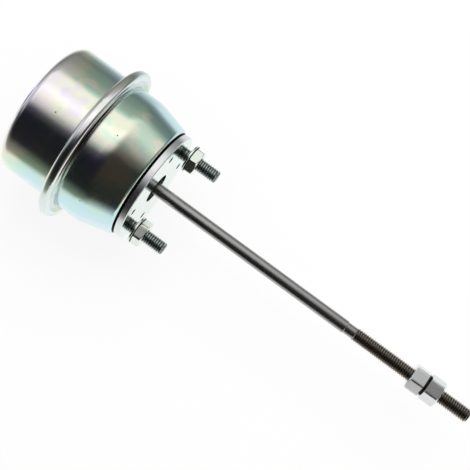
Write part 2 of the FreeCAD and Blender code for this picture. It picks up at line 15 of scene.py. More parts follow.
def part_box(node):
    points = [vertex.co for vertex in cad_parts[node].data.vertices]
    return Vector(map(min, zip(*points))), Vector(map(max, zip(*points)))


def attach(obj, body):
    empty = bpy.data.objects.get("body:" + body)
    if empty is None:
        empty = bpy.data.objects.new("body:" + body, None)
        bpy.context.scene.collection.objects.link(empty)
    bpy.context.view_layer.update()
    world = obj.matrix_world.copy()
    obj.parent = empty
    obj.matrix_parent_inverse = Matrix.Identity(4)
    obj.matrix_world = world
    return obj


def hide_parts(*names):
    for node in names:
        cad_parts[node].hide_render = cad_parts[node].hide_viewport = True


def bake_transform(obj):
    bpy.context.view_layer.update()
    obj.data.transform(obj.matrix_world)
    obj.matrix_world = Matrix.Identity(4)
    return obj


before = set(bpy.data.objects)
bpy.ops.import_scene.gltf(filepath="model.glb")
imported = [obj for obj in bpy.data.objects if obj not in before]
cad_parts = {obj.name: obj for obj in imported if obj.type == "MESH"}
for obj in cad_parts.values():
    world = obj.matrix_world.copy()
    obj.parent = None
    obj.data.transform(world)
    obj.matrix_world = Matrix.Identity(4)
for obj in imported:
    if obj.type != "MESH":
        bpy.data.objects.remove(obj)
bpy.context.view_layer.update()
MM = 0.001

# %% [markdown]
# The camera looks straight down on the table, from a little beside the can, so the unit seems to lie
# slanting across the picture. It would be easy to turn the object, but its frame is fixed. So the
# camera is rolled instead. First two directions are found for a camera that would show the rod level,
# and then both are turned by the slope that the rod has in the photograph.

# %% Camera
PICTURE = 470
FOCAL_PIXELS = 1168
SENSOR = 36.0
CLIP_START, CLIP_END = 10 * MM, 100
camera_place = Vector((69 * MM, -32 * MM, 459 * MM))
camera_target = Vector((36.2 * MM, 3.55 * MM, 0))
rod_slope = math.radians(36.2)

back = (camera_place - camera_target).normalized()
level_right = (Vector((1, 0, 0)) - back * back.x).normalized()
level_up = back.cross(level_right)
right = level_right * math.cos(rod_slope) + level_up * math.sin(rod_slope)
up = level_up * math.cos(rod_slope) - level_right * math.sin(rod_slope)
camera_data = bpy.data.cameras.new("camera")
camera_data.sensor_width = SENSOR
camera_data.lens = FOCAL_PIXELS / PICTURE * SENSOR
camera_data.clip_start = CLIP_START
camera_data.clip_end = CLIP_END
camera = bpy.data.objects.new("camera", camera_data)
bpy.context.collection.objects.link(camera)
turn = Matrix((right, up, back)).transposed()
camera.matrix_world = Matrix.Translation(camera_place) @ turn.to_4x4()
bpy.context.scene.camera = camera
print("lens:", round(camera_data.lens, 1), "mm")

# %% [markdown]
# Shader trees and geometry trees both need nodes by the dozen. One helper adds a node and fills its
# inputs, and a small class stands for a value that a tree works out. A sum on such values is written
# as on paper, and each sign in it adds a Math node. A plain number stays on the node's own socket.

# %% Helpers for node trees
class Signal:
    """A value that a node tree works out."""

    def __init__(self, tree, socket):
        self.tree = tree
        self.socket = socket

    def maths(self, operation, *others, clamp=False):
        """One sum on this and up to two more values."""
        inputs = dict(enumerate((self, *others)))
        return take(self.tree, "ShaderNodeMath", inputs, operation=operation, use_clamp=clamp)

    def __add__(self, other):
        return self.maths("ADD", other)

    def __sub__(self, other):
        return self.maths("SUBTRACT", other)

    def __rsub__(self, number):
        return take(self.tree, "ShaderNodeMath", {0: number, 1: self}, operation="SUBTRACT")

    def __mul__(self, other):
        return self.maths("MULTIPLY", other)

    def __truediv__(self, other):
        return self.maths("DIVIDE", other)

    def at_least(self, other):
        return self.maths("MAXIMUM", other)

    def at_most(self, other):
        return self.maths("MINIMUM", other)

    def less(self, other):
        """The difference, but never below 0."""
        return self.maths("SUBTRACT", other, clamp=True)

    def step(self, low, high):
        """0 below low and 1 above high, with a soft rise between."""
        inputs = {"Value": self, "From Min": low, "From Max": high}
        return take(self.tree, "ShaderNodeMapRange", inputs, "Result", interpolation_type="SMOOTHSTEP")

    def between(self, low, high, blur):
        """1 between two places and 0 outside them."""
        return self.step(low - blur, low + blur).less(self.step(high - blur, high + blur))

    def mix(self, first, second):
        """The first colour where this is 0 and the second where it is 1."""
        colours = [colour if isinstance(colour, Signal) else (*colour, 1) for colour in (first, second)]
        return take(self.tree, "ShaderNodeMix", {0: self, 6: colours[0], 7: colours[1]}, 2, data_type="RGBA")

    def vector(self, operation, *others):
        """One sum on vectors. A length or a distance is a number."""
        inputs = dict(enumerate((self, *others)))
        output = "Value" if operation in ("LENGTH", "DISTANCE") else "Vector"
        return take(self.tree, "ShaderNodeVectorMath", inputs, output, operation=operation)


def add_node(tree, kind, inputs=(), **settings):
    """Add a node, set its properties, then link or fill its inputs, which are named or numbered."""
    node = tree.nodes.new(kind)
    for name, value in settings.items():
        setattr(node, name, value)
    for key, value in dict(inputs).items():
        if isinstance(value, Signal):
            tree.links.new(value.socket, node.inputs[key])
        else:
            node.inputs[key].default_value = value
    return node


def take(tree, kind, inputs=(), output=0, **settings):
    """Add a node and take one of its outputs."""
    return Signal(tree, add_node(tree, kind, inputs, **settings).outputs[output])


print("helpers for node trees are ready")

# %% [markdown]
# A few more helpers are shared by many cells: a colour ramp, the parts of a place, a new material and
# a new object. Every finished object stays at the origin, with its place in its mesh.

# %% Helpers for colours, places and objects
def ramp(factor, stops):
    """A colour ramp with (place, colour) stops, with an even change between them."""
    node = add_node(factor.tree, "ShaderNodeValToRGB", {"Fac": factor})
    elements = node.color_ramp.elements
    while len(elements) < len(stops):
        elements.new(0.5)
    for element, (place, colour) in zip(elements, stops):
        element.position = place
        element.color = (*colour, 1)
    return Signal(factor.tree, node.outputs["Color"])


def parts_of(place):
    """The X, Y and Z of a place."""
    node = add_node(place.tree, "ShaderNodeSeparateXYZ", {0: place})
    return [Signal(place.tree, part) for part in node.outputs]


def length_of(y, z):
    """How far a point of a cross section is from its centre."""
    return take(y.tree, "ShaderNodeCombineXYZ", {"Y": y, "Z": z}).vector("LENGTH")


def new_material(name):
    """An empty node material and its tree."""
    material = bpy.data.materials.new(name)
    material.use_nodes = True
    material.node_tree.nodes.clear()
    return material, material.node_tree


def new_object(name, mesh):
    """An object at the origin with the mesh's own place."""
    piece = bpy.data.objects.new(name, mesh)
    bpy.context.collection.objects.link(piece)
    return piece


print("helpers for colours, places and objects are ready")

# %% [markdown]
# The table is one wide white sheet, and the can lies on its rolled bead. To the camera and in
# reflections it is plain white, with a share of true shading left in, so that a soft shadow stays
# under the can. Light Path tells the material which kind of ray asks for its colour.

# %% Table
TABLE_HALF = 3.0
TABLE_GAP = 0.05 * MM
SHADOW_SHARE = 0.16
PAPER = (0.86, 0.86, 0.86, 1)
WHITE = (1, 1, 1, 1)
RAY_KINDS = ("Camera", "Glossy", "Transmission")


def flat_sheet(name, back_x, front_x, half_width, height):
    """A flat rectangle of the studio."""
    ends = ((back_x, -1), (front_x, -1), (front_x, 1), (back_x, 1))
    mesh = bpy.data.meshes.new(name)
    mesh.from_pydata([(x, side * half_width, height) for x, side in ends], [], [(0, 1, 2, 3)])
    return new_object(name, mesh)


def seen_itself(tree):
    """1 for rays that show a surface itself: straight, mirrored or through glass."""
    rays = add_node(tree, "ShaderNodeLightPath").outputs
    camera_ray, glossy, through = (Signal(tree, rays[f"Is {kind} Ray"]) for kind in RAY_KINDS)
    return camera_ray.at_least(glossy).at_least(through)


bead_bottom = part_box("rear_cover")[0].z
table_height = bead_bottom - TABLE_GAP
table = flat_sheet("table", -TABLE_HALF, TABLE_HALF, TABLE_HALF, table_height)
material, tree = new_material("white_table")
share = seen_itself(tree) * (1 - SHADOW_SHARE)
glow = take(tree, "ShaderNodeEmission", {"Color": WHITE, "Strength": 1.0})
paper = take(tree, "ShaderNodeBsdfDiffuse", {"Color": PAPER})
shown = take(tree, "ShaderNodeMixShader", {0: share, 1: paper, 2: glow})
add_node(tree, "ShaderNodeOutputMaterial", {"Surface": shown})
table.data.materials.append(material)
print("table at", round(table_height / MM, 2), "mm")

# %% [markdown]
# The same white fills the world, so the object stands out clean from every side. Other rays find it a
# little darker, and that even light is what the rubber and the shadow on the table get.

# %% World
AMBIENT = 0.75
world = bpy.data.worlds.new("studio")
world.use_nodes = True
bpy.context.scene.world = world
tree = world.node_tree
tree.nodes.clear()
strength = seen_itself(tree).at_least(AMBIENT)
background = take(tree, "ShaderNodeBackground", {"Color": WHITE, "Strength": strength})
add_node(tree, "ShaderNodeOutputWorld", {"Surface": background})
bpy.context.scene.view_settings.view_transform = "Standard"
print("ambient light:", AMBIENT)

# %% [markdown]
# Bright metal has hardly any colour of its own: it shows the studio round it. The photograph's studio
# can be read off the can like a map, because a round wall turns what it mirrors. There is a broad
# soft light above and to the far side, grey walls beyond it, a black card on the near side and the
# white table below. These lists give the zones by their angle from straight up towards the far side,
# each with its brightness as one grey or as red, green and blue. There is a list for each stretch of
# the studio along X, because walls of different slope mirror different stretches.

# %% Zones of the studio
ZONES_REAR = [
    (-126, 0.97),  # near table
    (-104, 0.80),
    (-98, (0.24, 0.25, 0.20)),  # the near card's shade on it
    (-76, (0.015, 0.015, 0.017)),  # near card
    (-24, (0.008, 0.009, 0.015)),
    (-12, (0.05, 0.05, 0.07)),
    (2, (0.70, 0.68, 0.70)),  # lamp
    (26, (1.18, 1.18, 1.14)),
    (38, (0.90, 0.91, 0.88)),
    (56, (0.94, 0.95, 0.92)),
    (66, (0.41, 0.42, 0.40)),  # far wall
    (104, (0.17, 0.18, 0.17)),
    (114, 0.30),  # far table
    (124, (0.80, 0.81, 0.81)),
    (150, 1.0),
]
ZONES_FRONT = [
    (-126, 0.93),  # near table
    (-97, (0.86, 0.86, 0.88)),
    (-91, (0.30, 0.30, 0.31)),
    (-84, (0.015, 0.015, 0.016)),  # near card
    (-30, (0.034, 0.029, 0.024)),
    (-2, (0.032, 0.027, 0.025)),
    (12, (0.13, 0.12, 0.12)),  # the lamp's soft edge
    (28, (0.42, 0.41, 0.42)),
    (50, 0.74),
    (70, (0.66, 0.67, 0.66)),
    (86, (0.24, 0.26, 0.26)),  # far wall
    (98, (0.12, 0.14, 0.15)),
    (105, (0.26, 0.28, 0.30)),
    (111, (0.80, 0.82, 0.84)),  # far table
    (150, 1.0),
]
ZONES_BEHIND = [
    (-126, 0.85),  # near table
    (-100, (0.48, 0.50, 0.50)),
    (-84, (0.10, 0.11, 0.11)),  # near card
    (-50, (0.05, 0.06, 0.06)),
    (-34, (0.36, 0.42, 0.48)),  # a cool wall, brightest on the far side
    (6, (0.48, 0.53, 0.62)),
    (34, (0.70, 0.72, 0.76)),
    (60, (0.48, 0.50, 0.53)),
    (104, (0.26, 0.28, 0.29)),  # far wall
    (130, (0.75, 0.77, 0.77)),  # far table
    (150, 0.95),
]
ZONES_AHEAD = [
    (-126, 0.85),  # near table
    (-92, 0.52),
    (-68, 0.22),  # the room beyond the lamp, dark overhead
    (-20, 0.05),
    (6, 0.02),
    (30, (0.14, 0.15, 0.14)),
    (80, (0.20, 0.22, 0.21)),  # far wall
    (102, (0.58, 0.60, 0.60)),
    (126, (0.85, 0.86, 0.87)),  # far table
    (150, 0.95),
]
FIRST_SWING, LAST_SWING = ZONES_REAR[0][0], ZONES_REAR[-1][0]
SWING_SPAN = LAST_SWING - FIRST_SWING
print("studio zones:", len(ZONES_REAR + ZONES_FRONT + ZONES_BEHIND + ZONES_AHEAD))

# %% [markdown]
# The zones are painted on a curved tent, a long tunnel over the object whose feet fold inwards just
# above the table. Each point of its mesh keeps its own angle as an attribute, which the paint reads.

# %% Tent of the studio
TENT_RADIUS = 0.9
TENT_HALF_LENGTH = 5.0
TABLE_CLEARANCE = 1 * MM
SWING_STEPS, LENGTH_STEPS = 130, 8


def tent_point(swing):
    """A point of the tent's section at an angle from straight up towards the far side."""
    angle = math.radians(swing)
    reach = TENT_RADIUS
    if abs(swing) > 90:
        depth = -table_height - TABLE_CLEARANCE
        reach = min(reach, depth / -math.cos(angle))
    return reach * math.sin(angle), reach * math.cos(angle)


def tent_mesh():
    """The curved tent, with the angle of each of its points kept as an attribute."""
    mesh = bpy.data.meshes.new("reflected_studio")
    vertices, swings = [], []
    for row in range(SWING_STEPS + 1):
        y, z = tent_point(FIRST_SWING + SWING_SPAN * row / SWING_STEPS)
        for column in range(LENGTH_STEPS + 1):
            vertices.append((TENT_HALF_LENGTH * (2 * column / LENGTH_STEPS - 1), y, z))
            swings.append(row / SWING_STEPS)
    wide = LENGTH_STEPS + 1
    faces = [
        (row * wide + i, row * wide + i + 1, (row + 1) * wide + i + 1, (row + 1) * wide + i)
        for row in range(SWING_STEPS)
        for i in range(LENGTH_STEPS)
    ]
    mesh.from_pydata(vertices, [], faces)
    attribute = mesh.attributes.new("swing", "FLOAT", "POINT")
    attribute.data.foreach_set("value", swings)
    return mesh


def show_in_mirrors_only(thing, material, colour, strength=1.0):
    """Give a thing of the studio its glow, and hide it from all but glossy rays."""
    tree = material.node_tree
    glow = take(tree, "ShaderNodeEmission", {"Color": colour, "Strength": strength})
    add_node(tree, "ShaderNodeOutputMaterial", {"Surface": glow})
    thing.data.materials.append(material)
    for kind in ("camera", "diffuse", "transmission", "volume_scatter", "shadow"):
        setattr(thing, f"visible_{kind}", False)


tent = new_object("reflected_studio", tent_mesh())
print("tent:", len(tent.data.polygons), "faces")

# %% [markdown]
# Two kinds of mask will choose between the lists of zones: one rises along X and one with the angle.
# Each edge along X has a blur of its own, because a card's edge is sharp and a lamp's is soft.

# %% Masks of the tent
# Places along X with the blur of their edge
LIGHT_START = (-1.05, 0.3)
FAR_TABLE_END = (-0.035, 0.03)
NEAR_TABLE_END = (-0.075, 0.03)
LIGHT_END = (0.05, 0.10)
CARD_END = (0.23, 0.015)
ROOM_START = (0.55, 0.15)
# Angles between which a mask rises
NEAR_TABLE = (-98, -90)
ABOVE_CARD = (-90, -30)
CARD_TOP = (-86, -82)
FAR_WALL = (90, 102)

material, tree = new_material("studio_zones")
swing = take(tree, "ShaderNodeAttribute", output="Fac", attribute_name="swing")
along = parts_of(take(tree, "ShaderNodeTexCoord", output="Object"))[0]


def tent_share(angle):
    """An angle as the share of the tent that lies below it."""
    return (angle - FIRST_SWING) / SWING_SPAN


def past_angle(first, last):
    """0 below the first angle and 1 above the last."""
    return swing.step(tent_share(first), tent_share(last))


def past(place, blur):
    """0 before a place along the studio and 1 past it."""
    return along.step(place - blur, place + blur)


far = past_angle(*FAR_WALL)
beyond = past(*LIGHT_END).at_least(far * past(*FAR_TABLE_END))
beyond = beyond.at_least((1.0 - past_angle(*NEAR_TABLE)) * past(*NEAR_TABLE_END))
open_table = past(*CARD_END) * (1.0 - past_angle(*CARD_TOP))
print("masks of the tent:", len(tree.nodes), "nodes")

# %% [markdown]
# Now the tent is painted. Over the rear the lamp's lower edge runs aslant, as the glare on the rear
# cover does, so there the angle is shifted a little with X. Past the card's end its near side shows
# the open table.

# %% Paint of the tent
SLANT = 40.0
SLANT_START, SLANT_LIMIT = -0.20, -0.34
OPEN_TABLE = (0.62, 0.54, 0.55)
RAMP_SCALE = 2.0


def zone_colours(swing, zones):
    """The tent's colour by angle. A ramp holds values up to 1, so they are scaled down here."""
    stops = []
    for angle, shade in zones:
        colour = shade if isinstance(shade, tuple) else (shade, shade, shade)
        stops.append((tent_share(angle), [part / RAMP_SCALE for part in colour]))
    return ramp(swing, stops)


slant = (along.at_least(SLANT_LIMIT) - SLANT_START) * (SLANT / SWING_SPAN)
slant = slant * past_angle(*ABOVE_CARD).less(far)
colour = beyond.mix(zone_colours(swing - slant, ZONES_REAR), zone_colours(swing, ZONES_FRONT))
colour = open_table.mix(colour, OPEN_TABLE)
colour = past(*LIGHT_START).mix(zone_colours(swing, ZONES_BEHIND), colour)
colour = past(*ROOM_START).mix(colour, zone_colours(swing, ZONES_AHEAD))
show_in_mirrors_only(tent, material, colour, RAMP_SCALE)
print("tent's paint:", len(tree.nodes), "nodes")

# %% [markdown]
# The thin dark line round the can's rear edge is a painted shadow. A dark plane that lies on the table close
# behind the can stands for the can's shadow there, as the metal mirrors it. Like the tent, only reflections
# see it.

# %% Painted shadow behind the can
SHADOW_SHEET_NEAR, SHADOW_SHEET_FAR, SHADOW_SHEET_HALF = -190 * MM, -900 * MM, 170 * MM
SHADOW_SHEET_LIFT = 0.5 * MM
PAINTED_SHADOW_COLOUR = (0.07, 0.085, 0.095, 1)
# Painted shadow: this dark plane stands for the can's shadow on the table and is seen only in reflections
mirrored_shadow_sheet = flat_sheet("mirrored_shadow_sheet", SHADOW_SHEET_FAR, SHADOW_SHEET_NEAR, SHADOW_SHEET_HALF, table_height + SHADOW_SHEET_LIFT)
show_in_mirrors_only(mirrored_shadow_sheet, new_material("painted_table_shadow")[0], PAINTED_SHADOW_COLOUR)
print("card behind the can:", round((SHADOW_SHEET_NEAR - SHADOW_SHEET_FAR) / MM), "mm deep")

# %% [markdown]
# One real lamp, large and soft, stands on the far side. It lays the faint shadow on the table and lights
# the rubber and the plastic, but the metal must not mirror it, since the tent has its own lamp.

# %% Lamp
LAMP_SIZE = 0.6
LAMP_POWER = 4.0
LAMP_PLACE = Vector((0.02, 0.40, 0.72))
LAMP_TARGET = Vector((0.04, 0, 0))
lamp_data = bpy.data.lights.new("soft_light", "AREA")
lamp_data.size = LAMP_SIZE
lamp_data.energy = LAMP_POWER
lamp = bpy.data.objects.new("soft_light", lamp_data)
bpy.context.collection.objects.link(lamp)
lamp.location = LAMP_PLACE
lamp.rotation_euler = (LAMP_PLACE - LAMP_TARGET).to_track_quat("Z", "Y").to_euler()
lamp.visible_glossy = False
print("lamp:", round((LAMP_PLACE - LAMP_TARGET).length, 2), "m away")

# %% [markdown]
# An effect that several materials share is a node group, made once with named inputs and outputs and
# placed in each material with its own values. The same few lines give a geometry tree its inputs.

# %% Groups with named sockets
SOCKET_KINDS = {
    float: "NodeSocketFloat",
    int: "NodeSocketInt",
    tuple: "NodeSocketVector",
    type(None): "NodeSocketMaterial",
}


def add_sockets(tree, inputs, outputs):
    """Give a tree named inputs with their usual values, and outputs. The inputs come back as signals."""
    for label, value in inputs.items():
        kind = SOCKET_KINDS[type(value)]
        socket = tree.interface.new_socket(label, in_out="INPUT", socket_type=kind)
        if value is not None:
            socket.default_value = value
    for label, kind in outputs.items():
        tree.interface.new_socket(label, in_out="OUTPUT", socket_type=f"NodeSocket{kind}")
    entry = tree.nodes.new("NodeGroupInput")
    return {label: Signal(tree, entry.outputs[label]) for label in inputs}


def use_group(group, place, **inputs):
    """Place a group where a material reads its place. Its inputs have underscores for spaces."""
    named = {key.replace("_", " "): value for key, value in inputs.items()}
    node = add_node(place.tree, "ShaderNodeGroup", {"Place": place, **named}, node_tree=group)
    return {socket.name: Signal(place.tree, socket) for socket in node.outputs}


def noise(place, scale, detail=2.0, roughness=0.5, distortion=0.0):
    """Soft clouds between 0 and 1."""
    inputs = {"Vector": place, "Scale": scale, "Detail": detail}
    inputs.update({"Roughness": roughness, "Distortion": distortion})
    return take(place.tree, "ShaderNodeTexNoise", inputs, "Fac")


print("kinds of socket:", len(SOCKET_KINDS))

# %% [markdown]
# The covers are zinc plated and then dipped in a clear passivate, a film so thin that it tints the
# metal green, straw, pink or violet by its thickness. One node group makes that film for every zinc
# plated piece. The thickness drifts slowly over the surface, with softer and finer clouds added, and a
# colour ramp turns thickness into tint. Painting the tint is a simple way to have it from every side.

# %% Film group
FILM_TINTS = [
    (0.00, (0.76, 0.90, 0.95)),
    (0.15, (0.63, 0.90, 0.93)),
    (0.36, (0.68, 0.94, 0.76)),
    (0.43, (0.84, 0.95, 0.79)),
    (0.48, (0.96, 0.98, 0.77)),
    (0.56, (0.97, 0.94, 0.86)),
    (0.68, (0.93, 0.86, 0.95)),
    (0.80, (0.82, 0.80, 0.96)),
    (0.92, (0.74, 0.86, 0.96)),
    (1.00, (0.72, 0.93, 0.88)),
]
NEUTRAL_ZINC = (0.88, 0.90, 0.88)
FINE_CLOUDS = 5.0
FINE_SHARE = 0.2

film = bpy.data.node_groups.new("passivate_film", "ShaderNodeTree")
given = add_sockets(
    film,
    {"Place": (0, 0, 0), "Cloud Scale": 60.0, "Thickness": 0.4, "Variation": 0.5, "Depth": 1.0},
    {"Colour": "Color", "Clouds": "Float"},
)
broad = noise(given["Place"], given["Cloud Scale"], distortion=0.6)
fine = noise(given["Place"], given["Cloud Scale"] * FINE_CLOUDS, detail=3.0, roughness=0.6)
clouds = broad * (1 - FINE_SHARE) + fine * FINE_SHARE
thickness = given["Thickness"] + (clouds - 0.5) * given["Variation"]
tint = ramp(thickness.maths("PINGPONG", 1.0), FILM_TINTS)
add_node(film, "NodeGroupOutput", {"Colour": given["Depth"].mix(NEUTRAL_ZINC, tint), "Clouds": clouds})
print("film tints:", len(FILM_TINTS))

# %% [markdown]
# Pressed and turned steel is never a perfect mirror. Drawing a cup leaves fine lines along its wall,
# and rolled or turned pieces have rings round them. A second group stretches noise in one direction to
# make either kind of mark, and adds the small dark pits and scuffs that handling leaves.

# %% Marks group
PIT_EDGE = (0.08, 0.22)

marks = bpy.data.node_groups.new("working_marks", "ShaderNodeTree")
given = add_sockets(
    marks,
    {"Place": (0, 0, 0), "Stretch": (1.0, 1.0, 1.0), "Pit Scale": 300.0, "Pit Share": 0.05},
    {"Lines": "Float", "Pits": "Float", "Height": "Float"},
)
stretched = given["Place"].vector("MULTIPLY", given["Stretch"])
lines = noise(stretched, 1.0, detail=4.0, roughness=0.65)
cells = add_node(marks, "ShaderNodeTexVoronoi", {"Vector": given["Place"], "Scale": given["Pit Scale"]})
kept = Signal(marks, cells.outputs["Color"]).maths("LESS_THAN", given["Pit Share"])
pits = kept * (1.0 - Signal(marks, cells.outputs["Distance"]).step(*PIT_EDGE))
add_node(marks, "NodeGroupOutput", {"Lines": lines, "Pits": pits, "Height": lines - pits})
print("marks group:", len(marks.nodes), "nodes")

# %% [markdown]
# Every metal here is put together in the same way: a colour, a roughness that varies with the marks,
# and a bumped normal go into one Principled shader. These helpers start and end such a material.

# %% Helpers for materials
FINE_RELIEF = 0.01 * MM


def start_material(name):
    """A new material, and the point of the surface in the object's own frame."""
    material, tree = new_material(name)
    return material, take(tree, "ShaderNodeTexCoord", output="Object")


def roughness(least, *extras):
    """The least roughness, with (mask, share) pairs that add to it."""
    (mask, share), *others = extras
    total = mask * share + least
    for mask, share in others:
        total = total + mask * share
    return total


def bump(height, strength, distance=FINE_RELIEF, under=None):
    """A bumped normal, laid over another one if there is one."""
    inputs = {"Height": height, "Strength": strength, "Distance": distance}
    if under is not None:
        inputs["Normal"] = under
    return take(height.tree, "ShaderNodeBump", inputs, "Normal")


def finish_material(material, colour, roughness, normal, metallic=1.0):
    """Close a material: its shader and the output."""
    tree = material.node_tree
    inputs = {"Base Color": colour, "Metallic": metallic, "Roughness": roughness, "Normal": normal}
    shader = take(tree, "ShaderNodeBsdfPrincipled", inputs)
    add_node(tree, "ShaderNodeOutputMaterial", {"Surface": shader})
    print(f"{material.name}: {len(tree.nodes)} nodes")
    return material


print("relief of fine marks:", FINE_RELIEF / MM, "mm")

# %% [markdown]
# On the covers the tint runs from blue low on the can's sides over teal and green to straw at the top. This
# is a painted sheen: the film's change of colour with the viewing angle is painted by height, so the ramp's
# value rises with height. Near the rear end the film is thicker and pinker, so there the value rises more
# slowly and gets an extra step. Rounded spots and long streaks break the bands up, as drops and rinsing
# water leave them.

# %% Film on the covers
CAN_RADIUS = 28.7 * MM
FILM_AT_TOP = 0.50
SHEEN_RISE = 22.0
SHEEN_REAR_RISE = 9.0
FILM_REAR_EXTRA = 0.15
REAR_TINT = (-54 * MM, -40 * MM)
SPOT_SCALE, SPOT_EDGE, SPOT_EXTRA = 95.0, (0.57, 0.70), 0.18
STREAKS, STREAK_SWING = (14.0, 300.0, 300.0), 0.36


def film_thickness_and_sheen(place):
    """How thick the covers' film is, on the ramp's scale, with a painted sheen that rises with height."""
    x, _, z = parts_of(place)
    at_rear = 1.0 - x.step(*REAR_TINT)
    # Painted sheen: the value rises with height, more slowly over the rear
    rise = at_rear * (SHEEN_REAR_RISE - SHEEN_RISE) + SHEEN_RISE
    thickness = (z - CAN_RADIUS) * rise + FILM_AT_TOP + at_rear * FILM_REAR_EXTRA
    spots = noise(place, SPOT_SCALE, detail=1.0).step(*SPOT_EDGE)
    streaks = noise(place.vector("MULTIPLY", STREAKS), 1.0)
    return thickness + spots * SPOT_EXTRA + (streaks - 0.5) * STREAK_SWING


# The painted sheen's rise for each millimetre of height
print("the film thickens by", SHEEN_RISE * MM, "for each millimetre of height")

# %% [markdown]
# Shade is painted where the sheet is folded: in the groove before the bead, in the thin fold behind it and
# in the joint to the plate. The groove's painted shade is darkest on top and faint below.
# Three dark specks sit where the photograph shows them, given by their place along the can and their
# angle from straight up.

# %% Painted shade and specks on the covers
# Painted shade: the near-black colour laid in folds, gaps and joints
PAINTED_SHADE = (0.045, 0.042, 0.036)
GROOVE_BACK, GROOVE_FRONT, GROOVE_RADIUS = -30.8 * MM, -28.1 * MM, 31.7 * MM
GROOVE_SIDES = (8 * MM, 24 * MM)
GROOVE_BLUR = 0.3 * MM
GROOVE_REST = 0.14
REAR_FOLD, REAR_FOLD_SHARE = (-33.7 * MM, -33.1 * MM, 0.15 * MM), 0.8
JOINT = (-3.75 * MM, -3.65 * MM)
SPECKS = [(-19.5, 11.0), (-18.0, -51.5), (-43.5, -2.5)]
SPECK_EDGE = (0.15 * MM, 0.42 * MM)
SPECK_COLOUR = (0.05, 0.045, 0.04)


def painted_shade_in_folds(place):
    """1 where shade is painted on the covers and 0 elsewhere."""
    x, y, z = parts_of(place)
    outside = length_of(y, z).step(GROOVE_RADIUS - GROOVE_BLUR, GROOVE_RADIUS + GROOVE_BLUR)
    in_groove = x.between(GROOVE_BACK, GROOVE_FRONT, GROOVE_BLUR).less(outside)
    on_top = (1.0 - y.maths("ABSOLUTE").step(*GROOVE_SIDES)) * z.step(0.0, GROOVE_RADIUS / 2)
    in_groove = in_groove * on_top.at_least(GROOVE_REST)
    in_folds = in_groove.at_least(x.between(*REAR_FOLD) * REAR_FOLD_SHARE)
    return in_folds.at_least(x.step(*JOINT))


def add_specks(place, colour):
    """A colour with the dark specks on it."""
    for along_can, angle in SPECKS:
        tilt = math.radians(angle)
        centre = (along_can * MM, CAN_RADIUS * math.sin(tilt), CAN_RADIUS * math.cos(tilt))
        speck = 1.0 - place.vector("DISTANCE", centre).step(*SPECK_EDGE)
        colour = speck.mix(colour, SPECK_COLOUR)
    return colour


print("specks:", len(SPECKS))

# %% [markdown]
# The cover's material joins these to the film and the marks. On the bead, where the sheet was rolled
# over, the film is rubbed and tints less. A pressed wall is also never quite true: a second, much
# slower bump lets the mirrored light waver a little along the can.

# %% Cover material
BEAD = (-34.4 * MM, -26.6 * MM, 1.0 * MM)
FILM_DEPTH, RUBBED_OFF = 0.95, 0.6
COVER_PIT = (0.10, 0.09, 0.09)
WAVES, WAVE_HEIGHT = (40.0, 130.0, 130.0), 0.14 * MM


def make_cover_material():
    """Bright passivated zinc on drawn steel, with fine lines along the can."""
    material, place = start_material("passivated_cover")
    depth = parts_of(place)[0].between(*BEAD) * -RUBBED_OFF + FILM_DEPTH
    thickness = film_thickness_and_sheen(place)
    coat = use_group(film, place, Cloud_Scale=110.0, Thickness=thickness, Variation=0.36, Depth=depth)
    worked = use_group(marks, place, Stretch=(25.0, 900.0, 900.0), Pit_Scale=260.0, Pit_Share=0.02)
    colour = add_specks(place, worked["Pits"].mix(coat["Colour"], COVER_PIT))
    # Painted shade in the groove, the rear fold and the joint to the plate
    shade_mask = painted_shade_in_folds(place)
    rough = roughness(0.11, (worked["Lines"], 0.07), (coat["Clouds"], 0.04), (shade_mask, 0.35))
    waves = noise(place.vector("MULTIPLY", WAVES), 1.0, detail=1.0)
    normal = bump(worked["Height"], strength=0.2)
    normal = bump(waves, strength=0.5, distance=WAVE_HEIGHT, under=normal)
    return finish_material(material, shade_mask.mix(colour, PAINTED_SHADE), rough, normal)


cover = make_cover_material()

# %% [markdown]
# The mounting plate is turned and zinc plated. Its face carries faint rings, its rim is duller, and its
# back, which faces the can across a narrow gap, has painted shade laid on it.

# %% Plate material
PLATE_RIM = (23.6 * MM, 24.0 * MM)
PLATE_BACK = (-2.95 * MM, -2.85 * MM)
RIM_COLOUR = (0.89, 0.91, 0.92)


def make_plate_material():
    """Bright zinc with turning rings, a duller rim and painted shade on the back."""
    material, place = start_material("bright_plate")
    x, y, z = parts_of(place)
    radius = length_of(y, z)
    rim = radius.step(*PLATE_RIM)
    at_back = 1.0 - x.step(*PLATE_BACK)
    coat = use_group(film, place, Cloud_Scale=70.0, Thickness=0.28, Variation=0.5, Depth=0.38)
    # Painted shade on the back, in the narrow gap to the can
    colour = at_back.mix(rim.mix(coat["Colour"], RIM_COLOUR), PAINTED_SHADE)
    rings = take(place.tree, "ShaderNodeCombineXYZ", {"X": radius})
    worked = use_group(marks, rings, Stretch=(2500.0, 1.0, 1.0), Pit_Scale=400.0, Pit_Share=0.0)
    rough = roughness(0.10, (worked["Lines"], 0.10), (rim, 0.15))
    return finish_material(material, colour, rough, bump(worked["Lines"], strength=0.08))


plate = make_plate_material()

# %% [markdown]
# The small zinc plated pieces, such as the stud nuts, the washers and the hose nipple, share one material.
# It has a thin ring of painted shade where each stud nut sits on its washer.

# %% Zinc hardware material
UNDER_NUT, UNDER_NUT_SHARE = (4.0 * MM, 4.4 * MM, 0.05 * MM), 0.85
ZINC_PIT = (0.3, 0.3, 0.28)


